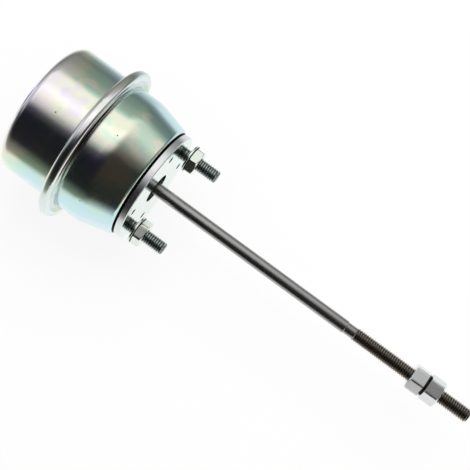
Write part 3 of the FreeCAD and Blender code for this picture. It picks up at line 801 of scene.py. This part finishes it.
def make_zinc_material():
    """Passivated zinc with fine marks all ways."""
    material, place = start_material("zinc_hardware")
    coat = use_group(film, place, Cloud_Scale=140.0, Thickness=0.42, Variation=0.3, Depth=0.4)
    worked = use_group(marks, place, Stretch=(900.0, 900.0, 900.0), Pit_Scale=700.0, Pit_Share=0.04)
    # Painted shade: a thin dark ring on each washer round its nut
    under_nut = parts_of(place)[0].between(*UNDER_NUT)
    colour = worked["Pits"].mix(coat["Colour"], ZINC_PIT)
    colour = (under_nut * UNDER_NUT_SHARE).mix(colour, PAINTED_SHADE)
    rough = roughness(0.09, (worked["Lines"], 0.12), (under_nut, 0.3))
    return finish_material(material, colour, rough, bump(worked["Height"], strength=0.10))


zinc = make_zinc_material()

# %% [markdown]
# A rolled thread gets a painted highlight on its crests and painted shade down in its roots. So its colour
# follows the distance from the bar's own centre line.

# %% Thread materials
THREAD_CREST = 5.95 / 2 * MM
THREAD_ROOT = 4.82 / 2 * MM
LEAST_SHADE, SHADE_SWING = 0.85, 0.3


def make_thread_material(name, crest_colour, root_colour, centres=0.0):
    """A thread whose axis is at Y = centres, on either side of the middle."""
    material, place = start_material(name)
    _, y, z = parts_of(place)
    # Painted highlight on the crests and painted shade in the roots
    crest = length_of(y.maths("ABSOLUTE") - centres, z).step(THREAD_ROOT, THREAD_CREST)
    worked = use_group(marks, place, Stretch=(700.0, 700.0, 700.0), Pit_Scale=900.0, Pit_Share=0.05)
    shade = worked["Lines"] * SHADE_SWING + LEAST_SHADE
    inputs = {0: crest.mix(root_colour, crest_colour), "Scale": shade}
    colour = take(place.tree, "ShaderNodeVectorMath", inputs, operation="SCALE")
    rough = roughness(0.36, (crest, -0.14))
    return finish_material(material, colour, rough, bump(worked["Height"], strength=0.1))


stud_place = sum(corner.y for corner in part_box("stud_upper")) / 2
rod_thread_steel = make_thread_material("rod_thread_steel", (0.62, 0.58, 0.51), (0.17, 0.15, 0.12))
zinc_thread = make_thread_material("zinc_thread", (0.84, 0.90, 0.87), (0.20, 0.24, 0.23), stud_place)

# %% [markdown]
# The push rod is bare ground steel, darker than the zinc, with fine rings round it and lighter scuffs.

# %% Rod material
ROD_DARK, ROD_LIGHT = (0.37, 0.365, 0.36), (0.50, 0.495, 0.485)
ROD_PIT = (0.16, 0.14, 0.12)


def make_rod_material():
    """Ground steel with rings and scuffs."""
    material, place = start_material("rod_steel")
    worked = use_group(marks, place, Stretch=(2600.0, 90.0, 90.0), Pit_Scale=500.0, Pit_Share=0.04)
    scuffs = noise(place, 55.0, detail=4.0, roughness=0.6)
    colour = worked["Pits"].mix(scuffs.mix(ROD_DARK, ROD_LIGHT), ROD_PIT)
    rough = roughness(0.22, (worked["Lines"], 0.14))
    return finish_material(material, colour, rough, bump(worked["Height"], strength=0.12))


rod_steel = make_rod_material()

# %% [markdown]
# The rod's two nuts are satin steel, grained along the bar that they were cut from. Painted shade fills the
# narrow V between them.

# %% Nut material
NUT_DARK, NUT_LIGHT = (0.83, 0.86, 0.85), (0.92, 0.95, 0.94)
NUT_GAP, NUT_GAP_SHARE = (129.8 * MM, 131.15 * MM, 0.08 * MM), 0.95
NUT_GAP_SIDES = (4.0 * MM, 4.6 * MM)


def make_nut_material():
    """Satin steel with painted shade in the gap between the nuts."""
    material, place = start_material("nut_steel")
    x, y, _ = parts_of(place)
    worked = use_group(marks, place, Stretch=(160.0, 1800.0, 1800.0), Pit_Scale=800.0, Pit_Share=0.03)
    clouds = noise(place, 180.0, detail=3.0, roughness=0.6)
    # Painted shade in the V between the two nuts
    in_gap = x.between(*NUT_GAP).less(y.maths("ABSOLUTE").step(*NUT_GAP_SIDES))
    colour = (in_gap * NUT_GAP_SHARE).mix(clouds.mix(NUT_DARK, NUT_LIGHT), PAINTED_SHADE)
    rough = roughness(0.21, (worked["Lines"], 0.16), (in_gap, 0.3))
    return finish_material(material, colour, rough, bump(worked["Height"], strength=0.12))


nut_steel = make_nut_material()

# %% [markdown]
# The pieces inside the can show only when it is opened or cut. Metal and plastic ones get two tones of
# one colour in clouds, with fine marks. The diaphragm is black rubber on a fabric, whose weave shows
# faintly through it as two crossed sets of waves.

# %% Inner materials
INNER_RELIEF = 0.03 * MM
WEAVE_SCALE = 420.0
RUBBER_DARK, RUBBER_LIGHT = (0.012, 0.012, 0.013), (0.030, 0.029, 0.028)


def make_inner_material(name, dark, light, scale, least_rough, metallic=1.0):
    """A hidden piece: two tones of one colour in clouds, with fine marks."""
    material, place = start_material(name)
    worked = use_group(marks, place, Stretch=(scale, scale, scale), Pit_Scale=scale, Pit_Share=0.04)
    rough = roughness(least_rough, (worked["Lines"], 0.2))
    normal = bump(worked["Height"], strength=0.2, distance=INNER_RELIEF)
    return finish_material(material, worked["Lines"].mix(dark, light), rough, normal, metallic)


def make_cloth_material():
    """Black rubber with the weave of its fabric."""
    material, place = start_material("rubber_cloth")
    inputs = {"Vector": place, "Scale": WEAVE_SCALE}
    warp, weft = (
        take(place.tree, "ShaderNodeTexWave", inputs, "Fac", bands_direction=direction) for direction in "XY"
    )
    weave = warp.at_least(weft)
    normal = bump(weave, strength=0.3, distance=INNER_RELIEF)
    rough = roughness(0.55, (weave, 0.15))
    return finish_material(material, weave.mix(RUBBER_DARK, RUBBER_LIGHT), rough, normal, metallic=0.0)


spring_steel = make_inner_material(
    "spring_steel", (0.20, 0.19, 0.18), (0.38, 0.37, 0.35), scale=420.0, least_rough=0.28
)
aluminium = make_inner_material(
    "pressed_aluminium", (0.62, 0.63, 0.65), (0.80, 0.81, 0.82), scale=260.0, least_rough=0.25
)
plastic = make_inner_material(
    "guide_plastic", (0.02, 0.02, 0.02), (0.05, 0.05, 0.048), scale=500.0, least_rough=0.35, metallic=0.0
)
rubber_cloth = make_cloth_material()

# %% [markdown]
# Geometry nodes build the threads and the spring. Both wind a shape round an axis, so one helper turns
# a place, a radius and an angle into a point. Two more end a tree with real faces, and run it on an
# empty mesh to get a plain one. A modifier's inputs are set by the identifiers of their sockets.

# %% Helpers for geometry trees
def wind(x, radius, angle):
    """The point at a place along the axis, at a radius and an angle round it."""
    section = {"Y": radius * angle.maths("COSINE"), "Z": radius * angle.maths("SINE")}
    return take(x.tree, "ShaderNodeCombineXYZ", {"X": x, **section})


def close_tree(shape, material):
    """End a geometry tree: real faces with their material."""
    tree = shape.tree
    real = take(tree, "GeometryNodeRealizeInstances", {0: shape})
    dressed = take(tree, "GeometryNodeSetMaterial", {"Geometry": real, "Material": material})
    add_node(tree, "NodeGroupOutput", {0: dressed})


def mesh_from_tree(name, tree, **inputs):
    """Run a geometry tree on an empty mesh and keep its result as a plain mesh."""
    holder = new_object(name, bpy.data.meshes.new(f"{name}_empty"))
    modifier = holder.modifiers.new("tree", "NODES")
    modifier.node_group = tree
    sockets = {item.name: item.identifier for item in tree.interface.items_tree if item.in_out == "INPUT"}
    for key, value in inputs.items():
        modifier[sockets[key.replace("_", " ")]] = value
    graph = bpy.context.evaluated_depsgraph_get()
    mesh = bpy.data.meshes.new_from_object(holder.evaluated_get(graph))
    bpy.data.objects.remove(holder)
    return mesh


print("helpers for geometry trees are ready")

# %% [markdown]
# A fine thread follows a simple rule: the section climbs by one pitch in each turn. Geometry nodes
# build it from a grid that is sheared by one pitch and wrapped round the axis, so the crests lie along
# the grid's own lines and stay sharp with few faces. Rows outside the length are pressed flat on the
# ends. The first run fades in from the plain bar and the tip has its chamfer, as on a rolled thread.

# %% Thread tree
PITCH = 1.0 * MM
CREST_FLAT = 1 / 8
ROOT_FLAT = 1 / 4
ROWS = 16
AROUND = 40
WELD_IN_TREE = 0.002 * MM


def make_thread_tree():
    """A closed screw thread along X from named sizes."""
    tree = bpy.data.node_groups.new("rolled_thread", "GeometryNodeTree")
    sizes = {"Length": 10 * MM, "Pitch": PITCH, "Crest Radius": 3 * MM, "Root Radius": 2.4 * MM}
    ends = {"Start Radius": 2.4 * MM, "Tip Radius": 2 * MM, "Start Place": (0, 0, 0)}
    counts = {"Rows Per Pitch": ROWS, "Around": AROUND}
    given = add_sockets(tree, {**sizes, **ends, **counts, "Material": None}, {"Geometry": "Geometry"})
    length, pitch, per_pitch = given["Length"], given["Pitch"], given["Rows Per Pitch"]
    last_row = ((length / pitch + 1.0) * per_pitch).maths("CEIL") + 2.0
    counts = {"Vertices X": given["Around"] + 1.0, "Vertices Y": last_row + 1.0}
    grid = take(tree, "GeometryNodeMeshGrid", {"Size X": 1.0, "Size Y": 1.0, **counts})
    x, y, _ = parts_of(take(tree, "GeometryNodeInputPosition"))
    # The grid runs from -0.5 to 0.5 both ways: X goes round the bar and Y along it
    share = x + 0.5
    row = ((y + 0.5) * last_row).maths("ROUND")
    climb = (row - 1.0) / per_pitch
    along = ((climb - 1.0 + share) * pitch).at_least(0.0).at_most(length)
    wave = (climb.maths("FRACT") * 2.0 - 1.0).maths("ABSOLUTE")
    rise = (wave - ROOT_FLAT).maths("DIVIDE", 1 - ROOT_FLAT - CREST_FLAT, clamp=True)
    radius = rise * (given["Crest Radius"] - given["Root Radius"]) + given["Root Radius"]
    radius = radius.at_most(given["Start Radius"] + along)
    radius = radius.at_most(given["Tip Radius"] + (length - along))
    radius = radius * (1.0 - row.maths("GREATER_THAN", last_row - 0.5))
    point = wind(along, radius, share * math.tau).vector("ADD", given["Start Place"])
    placed = take(tree, "GeometryNodeSetPosition", {"Geometry": grid, "Position": point})
    merged = take(tree, "GeometryNodeMergeByDistance", {0: placed, "Distance": WELD_IN_TREE})
    close_tree(take(tree, "GeometryNodeFlipFaces", {0: merged}), given["Material"])
    return tree


thread_tree = make_thread_tree()
print("thread tree nodes:", len(thread_tree.nodes))

# %% [markdown]
# The plain lengths of the rod and the studs are turned shapes. A list of radii along X is spun into
# rings that have as many points as the thread has, so that the two meshes share the ring where they
# meet and become one closed surface. A list that ends in a ring on both sides is closed on itself, as
# a nut's and the diaphragm's are.

# %% Turned shapes
def skin(name, rings):
    """Faces between rings of vertices, where a ring of one vertex closes an end in a point."""
    made = bmesh.new()
    rings = [[made.verts.new(point) for point in ring] for ring in rings]
    if len(rings[0]) > 1 and len(rings[-1]) > 1:
        rings.append(rings[0])
    around = max(len(ring) for ring in rings)
    for first, second in zip(rings, rings[1:]):
        for step in range(around):
            following = (step + 1) % around
            corners = [first[step % len(first)], second[step % len(second)]]
            corners += [second[following % len(second)], first[following % len(first)]]
            made.faces.new(dict.fromkeys(corners))
    mesh = bpy.data.meshes.new(name)
    made.to_mesh(mesh)
    made.free()
    return mesh


def ring_points(x, radius, centre_y=0.0):
    """One ring of a turned shape, or its single middle point where the radius is 0."""
    if radius == 0:
        return [(x, centre_y, 0)]
    angles = [math.tau * step / AROUND for step in range(AROUND)]
    return [(x, centre_y + radius * math.cos(angle), radius * math.sin(angle)) for angle in angles]


print("points on a ring:", AROUND)

# %% [markdown]
# Joining welds the points that two meshes share, drops faces of no area, turns all faces outwards and
# keeps edges sharp where the surface turns by more than 28 degrees. It prints how many edges are open.

# %% Joined meshes
SHARP_ANGLE = math.radians(28)
WELD = 0.004 * MM
SLIVER = 1e-14


def join_meshes(name, meshes):
    """One closed mesh from several that share their rings, smooth but for its sharp edges."""
    joined = bmesh.new()
    for mesh in meshes:
        joined.from_mesh(mesh)
    bmesh.ops.remove_doubles(joined, verts=joined.verts, dist=WELD)
    flat = [face for face in joined.faces if face.calc_area() < SLIVER]
    bmesh.ops.delete(joined, geom=flat, context="FACES")
    bmesh.ops.recalc_face_normals(joined, faces=joined.faces)
    open_edges = sum(not edge.is_manifold for edge in joined.edges)
    mesh = bpy.data.meshes.new(name)
    joined.to_mesh(mesh)
    joined.free()
    for face in mesh.polygons:
        face.use_smooth = True
    mesh.set_sharp_from_angle(angle=SHARP_ANGLE)
    print(f"{name}: {len(mesh.polygons)} faces, {open_edges} open edges")
    return mesh


print("points are welded within", WELD / MM, "mm")

# %% [markdown]
# An outline is written as its corners, and a corner with a third number is rounded by that radius. The
# arc's centre lies on the line that halves the corner, and its points are found by turning one spoke.

# %% Rounded outlines
BEND_STEPS = 6


def round_corner(before, corner, after, bend):
    """Points of the arc that rounds one corner of an outline."""
    to_before = (before - corner).normalized()
    to_after = (after - corner).normalized()
    half = to_before.angle(to_after) / 2
    centre = corner + (to_before + to_after).normalized() * (bend / math.sin(half))
    inward = (corner - centre).normalized()
    first = corner + to_before * (bend / math.tan(half)) - centre
    side = 1 if inward.cross(first) > 0 else -1
    sweep = math.pi / 2 - half
    points = []
    for step in range(BEND_STEPS + 1):
        angle = side * sweep * (1 - 2 * step / BEND_STEPS)
        x = inward.x * math.cos(angle) - inward.y * math.sin(angle)
        y = inward.x * math.sin(angle) + inward.y * math.cos(angle)
        points.append(centre + Vector((x, y)) * bend)
    return points


def outline(corners):
    """An outline of (x, radius) or (x, radius, bend) corners, as plain points."""
    places = [Vector(corner[:2]) for corner in corners]
    points = []
    for index, corner in enumerate(corners):
        if len(corner) == 2:
            points.append(places[index])
            continue
        after = places[(index + 1) % len(places)]
        points += round_corner(places[index - 1], places[index], after, corner[2])
    return [tuple(point) for point in points]


print("points on a bend:", BEND_STEPS + 1)

# %% [markdown]
# The rod and the studs are turned bars with a rolled thread on their front part. One function spins the
# plain part, runs the thread tree for the rest and joins the two.

# %% Threaded bars
NECK_RADIUS = 4.8 / 2 * MM


def threaded_bar(name, profile, start, end, tip_radius, material, centre_y=0.0):
    """A turned bar whose front part is threaded, as one closed mesh."""
    plain = skin(f"{name}_plain", [ring_points(x, radius, centre_y) for x, radius in profile])
    thread = mesh_from_tree(
        f"{name}_thread",
        thread_tree,
        Length=end - start,
        Crest_Radius=THREAD_CREST,
        Root_Radius=THREAD_ROOT,
        Start_Radius=NECK_RADIUS,
        Tip_Radius=tip_radius,
        Start_Place=(start, centre_y, 0),
        Material=material,
    )
    return join_meshes(f"{name}_threaded", [plain, thread])


print("thread:", round(2 * THREAD_CREST / MM, 2), "mm across its crests")

# %% [markdown]
# The push rod is one bar: a riveted head inside the can, the long plain shank, a relief neck, and an
# M6 thread with a 1 mm pitch that was rolled up from the shank's diameter. The nuts' places and the
# rod's ends come from the solids.

# %% Push rod
SHANK_RADIUS = 5.35 / 2 * MM
TAIL_RADIUS = 2.0 * MM
RIVET_HEIGHT = 2.2 * MM
RIVET_BEND = 1.7 * MM
SHANK_END = 92.5 * MM
THREAD_START = 96.9 * MM
SHOULDER_BREAK = 0.1 * MM
ROD_TIP_RADIUS = THREAD_CREST - 0.9 * MM

rod_back, rod_front = (corner.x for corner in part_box("push_rod"))
rivet_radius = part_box("push_rod")[1].y
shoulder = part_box("backing_washer")[1].x
profile = outline(
    [
        (rod_back, 0),
        (rod_back, rivet_radius, RIVET_BEND),
        (rod_back + RIVET_HEIGHT, rivet_radius),
        (rod_back + RIVET_HEIGHT, TAIL_RADIUS),
        (shoulder, TAIL_RADIUS),
        (shoulder, SHANK_RADIUS - SHOULDER_BREAK),
        (shoulder + SHOULDER_BREAK, SHANK_RADIUS),
        (SHANK_END, SHANK_RADIUS),
        (SHANK_END + SHANK_RADIUS - NECK_RADIUS, NECK_RADIUS),
        (THREAD_START, NECK_RADIUS),
    ]
)
rod_mesh = threaded_bar("push_rod", profile, THREAD_START, rod_front, ROD_TIP_RADIUS, rod_thread_steel)
rod_mesh.materials.append(rod_steel)
rod_mesh.materials.append(rod_thread_steel)
for face in rod_mesh.polygons:
    face.material_index = 1 if face.center.x > THREAD_START else 0
push_rod = new_object("push_rod_threaded", rod_mesh)
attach(push_rod, "rod")
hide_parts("push_rod")

# %% [markdown]
# Each stud is a short bar with a flat head sunk in the back of the plate and the same thread up to
# its tip. Both come from one function, each at its own solid's place.

# %% Studs
STUD_HEAD_HEIGHT = 1.4 * MM
STUD_THREAD_START = 0.2 * MM
STUD_TIP_RADIUS = THREAD_CREST - 0.8 * MM


def make_stud(word):
    """A threaded stud that stands for one stud solid."""
    low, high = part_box(f"stud_{word}")
    centre_y = (low.y + high.y) / 2
    head = (high.y - low.y) / 2
    profile = [
        (low.x, 0),
        (low.x, head),
        (low.x + STUD_HEAD_HEIGHT, head),
        (low.x + STUD_HEAD_HEIGHT, THREAD_CREST),
        (STUD_THREAD_START - (THREAD_CREST - NECK_RADIUS), THREAD_CREST),
        (STUD_THREAD_START, NECK_RADIUS),
    ]
    ends = (STUD_THREAD_START, high.x, STUD_TIP_RADIUS)
    mesh = threaded_bar(f"stud_{word}", profile, *ends, zinc_thread, centre_y)
    mesh.materials.append(zinc_thread)
    stud = new_object(f"stud_{word}_threaded", mesh)
    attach(stud, "housing")
    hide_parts(f"stud_{word}")


for word in ("upper", "lower"):
    make_stud(word)

# %% [markdown]
# A nut is a turned blank cut by a hexagon: its ends are chamfered in the lathe, which leaves the curved
# line where the chamfer runs out on each flat. The solids have knife-sharp corners, but real ones are
# slightly rounded, and the thin line of dark or light that such a corner mirrors is what makes a nut
# look real. So the blank's rings are turned as before, and each point is then drawn in to a hexagon
# with small round corners.

# %% Shape of a nut
NUT_FLATS = 10.0 * MM
NUT_REACH = NUT_FLATS / math.sqrt(3)
NUT_CHAMFER = 0.55 * MM
NUT_BEND = 0.62 * MM
NUT_LEAD = 0.35 * MM
NUT_CLEARANCE = 0.02 * MM
FLAT_STEPS = 8
CHAMFER_STEPS = 5


def hexagon_points(turn):
    """A hexagon with rounded corners, as (y, z) points, turned as far as its solid is."""
    angles = [math.radians(turn + 60 * side) for side in range(6)]
    corners = [(NUT_REACH * math.cos(angle), NUT_REACH * math.sin(angle), NUT_BEND) for angle in angles]
    bends = [Vector(point) for point in outline(corners)]
    points = []
    for index, point in enumerate(bends):
        points.append(point)
        if index % (BEND_STEPS + 1) == BEND_STEPS:
            following = bends[(index + 1) % len(bends)]
            points += [point.lerp(following, step / FLAT_STEPS) for step in range(1, FLAT_STEPS)]
    return points


def nut_profile(low_x, high_x):
    """The chamfered blank as (x, radius), from the bore round the outside and back."""
    bore = THREAD_CREST + NUT_CLEARANCE
    flat = NUT_FLATS / 2
    first = [(low_x + NUT_LEAD, bore), (low_x, bore + NUT_LEAD)]
    for step in range(CHAMFER_STEPS + 1):
        share = step / CHAMFER_STEPS
        first.append((low_x + NUT_CHAMFER * share, flat + (NUT_REACH - flat) * share))
    last = [(high_x - (x - low_x), radius) for x, radius in reversed(first)]
    return first + last


print("points round a nut:", len(hexagon_points(0)))

# %% [markdown]
# Each nut stands at its solid's place and is turned by as many degrees. The rod's nuts ride on the rod
# and the studs' nuts stay with the housing.

# %% Nuts
NUT_TURNS = {"adjusting_nut": 46, "lock_nut": 55, "stud_nut_upper": 41, "stud_nut_lower": 2}


def make_nut(name, body, material):
    """A nut with rounded corners that stands for one solid."""
    low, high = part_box(name)
    centre = (low + high) / 2
    section = hexagon_points(NUT_TURNS[name])
    rings = []
    for x, limit in nut_profile(low.x, high.x):
        scaled = [point * min(1, limit / point.length) for point in section]
        rings.append([(x, centre.y + point.x, centre.z + point.y) for point in scaled])
    nut = new_object(f"{name}_rounded", join_meshes(f"{name}_rounded", [skin(name, rings)]))
    nut.data.materials.append(material)
    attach(nut, body)
    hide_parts(name)


for name in ("adjusting_nut", "lock_nut"):
    make_nut(name, "rod", nut_steel)
for name in ("stud_nut_upper", "stud_nut_lower"):
    make_nut(name, "housing", zinc)

# %% [markdown]
# The return spring lies hidden between the piston and its seat. A coil is again a rule: it climbs by
# one wire for each turn at its closed ends and faster between them. A second tree winds a line by that
# rule and sweeps the wire's circle along it.

# %% Coil tree
WIRE_RADIUS = 1.6 * MM
CLOSED_HALVES = 2
OPEN_HALVES = 9
STEPS_A_HALF = 24
WIRE_SIDES = 12


def make_coil_tree():
    """A compression coil with closed ends, wound along X half a turn at a time."""
    tree = bpy.data.node_groups.new("compression_coil", "GeometryNodeTree")
    sizes = {"Start": 0.0, "Mean Radius": 20 * MM, "Wire Radius": WIRE_RADIUS, "Open Rise": 4 * MM}
    counts = {"Closed Halves": CLOSED_HALVES, "Open Halves": OPEN_HALVES, "Steps A Half": STEPS_A_HALF}
    given = add_sockets(tree, {**sizes, **counts, "Material": None}, {"Geometry": "Geometry"})
    closed, wire = given["Closed Halves"], given["Wire Radius"]
    steps = (closed * 2.0 + given["Open Halves"]) * given["Steps A Half"]
    line = take(tree, "GeometryNodeMeshLine", {"Count": steps + 1.0})
    wound = take(tree, "GeometryNodeInputIndex") / given["Steps A Half"]
    eased = (wound.maths("FRACT") * math.pi).maths("COSINE") * -0.5 + 0.5
    passed = wound.maths("FLOOR") + eased
    open_passed = (passed - closed).at_least(0.0).at_most(given["Open Halves"])
    rise = open_passed * given["Open Rise"] + (passed - open_passed) * wire
    point = wind(given["Start"] + wire + rise, given["Mean Radius"], wound * math.pi)
    placed = take(tree, "GeometryNodeSetPosition", {"Geometry": line, "Position": point})
    path = take(tree, "GeometryNodeMeshToCurve", {0: placed})
    section = take(tree, "GeometryNodeCurvePrimitiveCircle", {"Resolution": WIRE_SIDES, "Radius": wire})
    inputs = {"Curve": path, "Profile Curve": section, "Fill Caps": True}
    close_tree(take(tree, "GeometryNodeCurveToMesh", inputs), given["Material"])
    return tree


coil_tree = make_coil_tree()
print("coil tree nodes:", len(coil_tree.nodes))

# %% [markdown]
# The coil is wound to the length and outer radius of the spring's solid, with two closed half turns at each
# end.

# %% Return spring
spring_low, spring_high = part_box("return_spring")
open_length = spring_high.x - spring_low.x - 2 * (CLOSED_HALVES + 1) * WIRE_RADIUS
coil = mesh_from_tree(
    "return_coil",
    coil_tree,
    Start=spring_low.x,
    Mean_Radius=spring_high.y - WIRE_RADIUS,
    Wire_Radius=WIRE_RADIUS,
    Open_Rise=open_length / OPEN_HALVES,
    Material=spring_steel,
)
return_coil = new_object("return_coil", join_meshes("return_coil", [coil]))
return_coil.data.materials.append(spring_steel)
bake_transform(return_coil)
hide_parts("return_spring")

# %% [markdown]
# The diaphragm is a moulded sheet of rubber on cloth. Its edge is clamped in the bead and its middle
# on the piston, and the loop between them rolls as the rod moves. It is turned from its own outline.

# %% Diaphragm
RUBBER = 1.25 * MM
ROLL_BEND = 1.4 * MM
CROWN_BEND = 2.0 * MM
EDGE_BEND = 2.2 * MM
ROLL_CLEARANCE = 0.1 * MM
WALL_CLEARANCE = 0.2 * MM
COVER_SHEET = 1.0 * MM
EDGE_DEPTH = 5.0 * MM
sheet_low, sheet_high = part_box("diaphragm")
roll_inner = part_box("piston")[1].y + ROLL_CLEARANCE
roll_outer = CAN_RADIUS - COVER_SHEET - WALL_CLEARANCE
crown = sheet_low.x
edge_front = sheet_high.x - EDGE_DEPTH
edge_back = edge_front - RUBBER
profile = outline(
    [
        (edge_back, sheet_high.y),
        (edge_front, sheet_high.y),
        (edge_front, roll_outer, EDGE_BEND),
        (sheet_high.x, roll_outer, ROLL_BEND),
        (sheet_high.x, roll_inner, ROLL_BEND),
        (crown + RUBBER, roll_inner, CROWN_BEND),
        (crown + RUBBER, TAIL_RADIUS),
        (crown, TAIL_RADIUS),
        (crown, roll_inner + RUBBER, CROWN_BEND + RUBBER),
        (sheet_high.x - RUBBER, roll_inner + RUBBER, ROLL_BEND - RUBBER),
        (sheet_high.x - RUBBER, roll_outer - RUBBER, ROLL_BEND - RUBBER),
        (edge_back, roll_outer - RUBBER, EDGE_BEND + RUBBER),
    ]
)
turned = skin("rolling_diaphragm", [ring_points(x, radius) for x, radius in profile])
rolling_diaphragm = new_object("rolling_diaphragm", join_meshes("rolling_diaphragm", [turned]))
rolling_diaphragm.data.materials.append(rubber_cloth)
edge_back - 2 * RUBBER
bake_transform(rolling_diaphragm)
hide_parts("diaphragm")

# %% [markdown]
# Every other piece keeps its solid, whose shape is already right, and only gets its finish.

# %% Finish the solids
finishes = {
    "rear_cover": cover,
    "front_cover": cover,
    "mounting_plate": plate,
    "hose_nipple": zinc,
    "stud_washer_upper": zinc,
    "stud_washer_lower": zinc,
    "diaphragm_retainer": zinc,
    "backing_washer": zinc,
    "spring_seat": zinc,
    "piston": aluminium,
    "rod_guide": plastic,
}
for name, material in finishes.items():
    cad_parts[name].data.materials[0] = material
print("finished solids:", len(finishes))
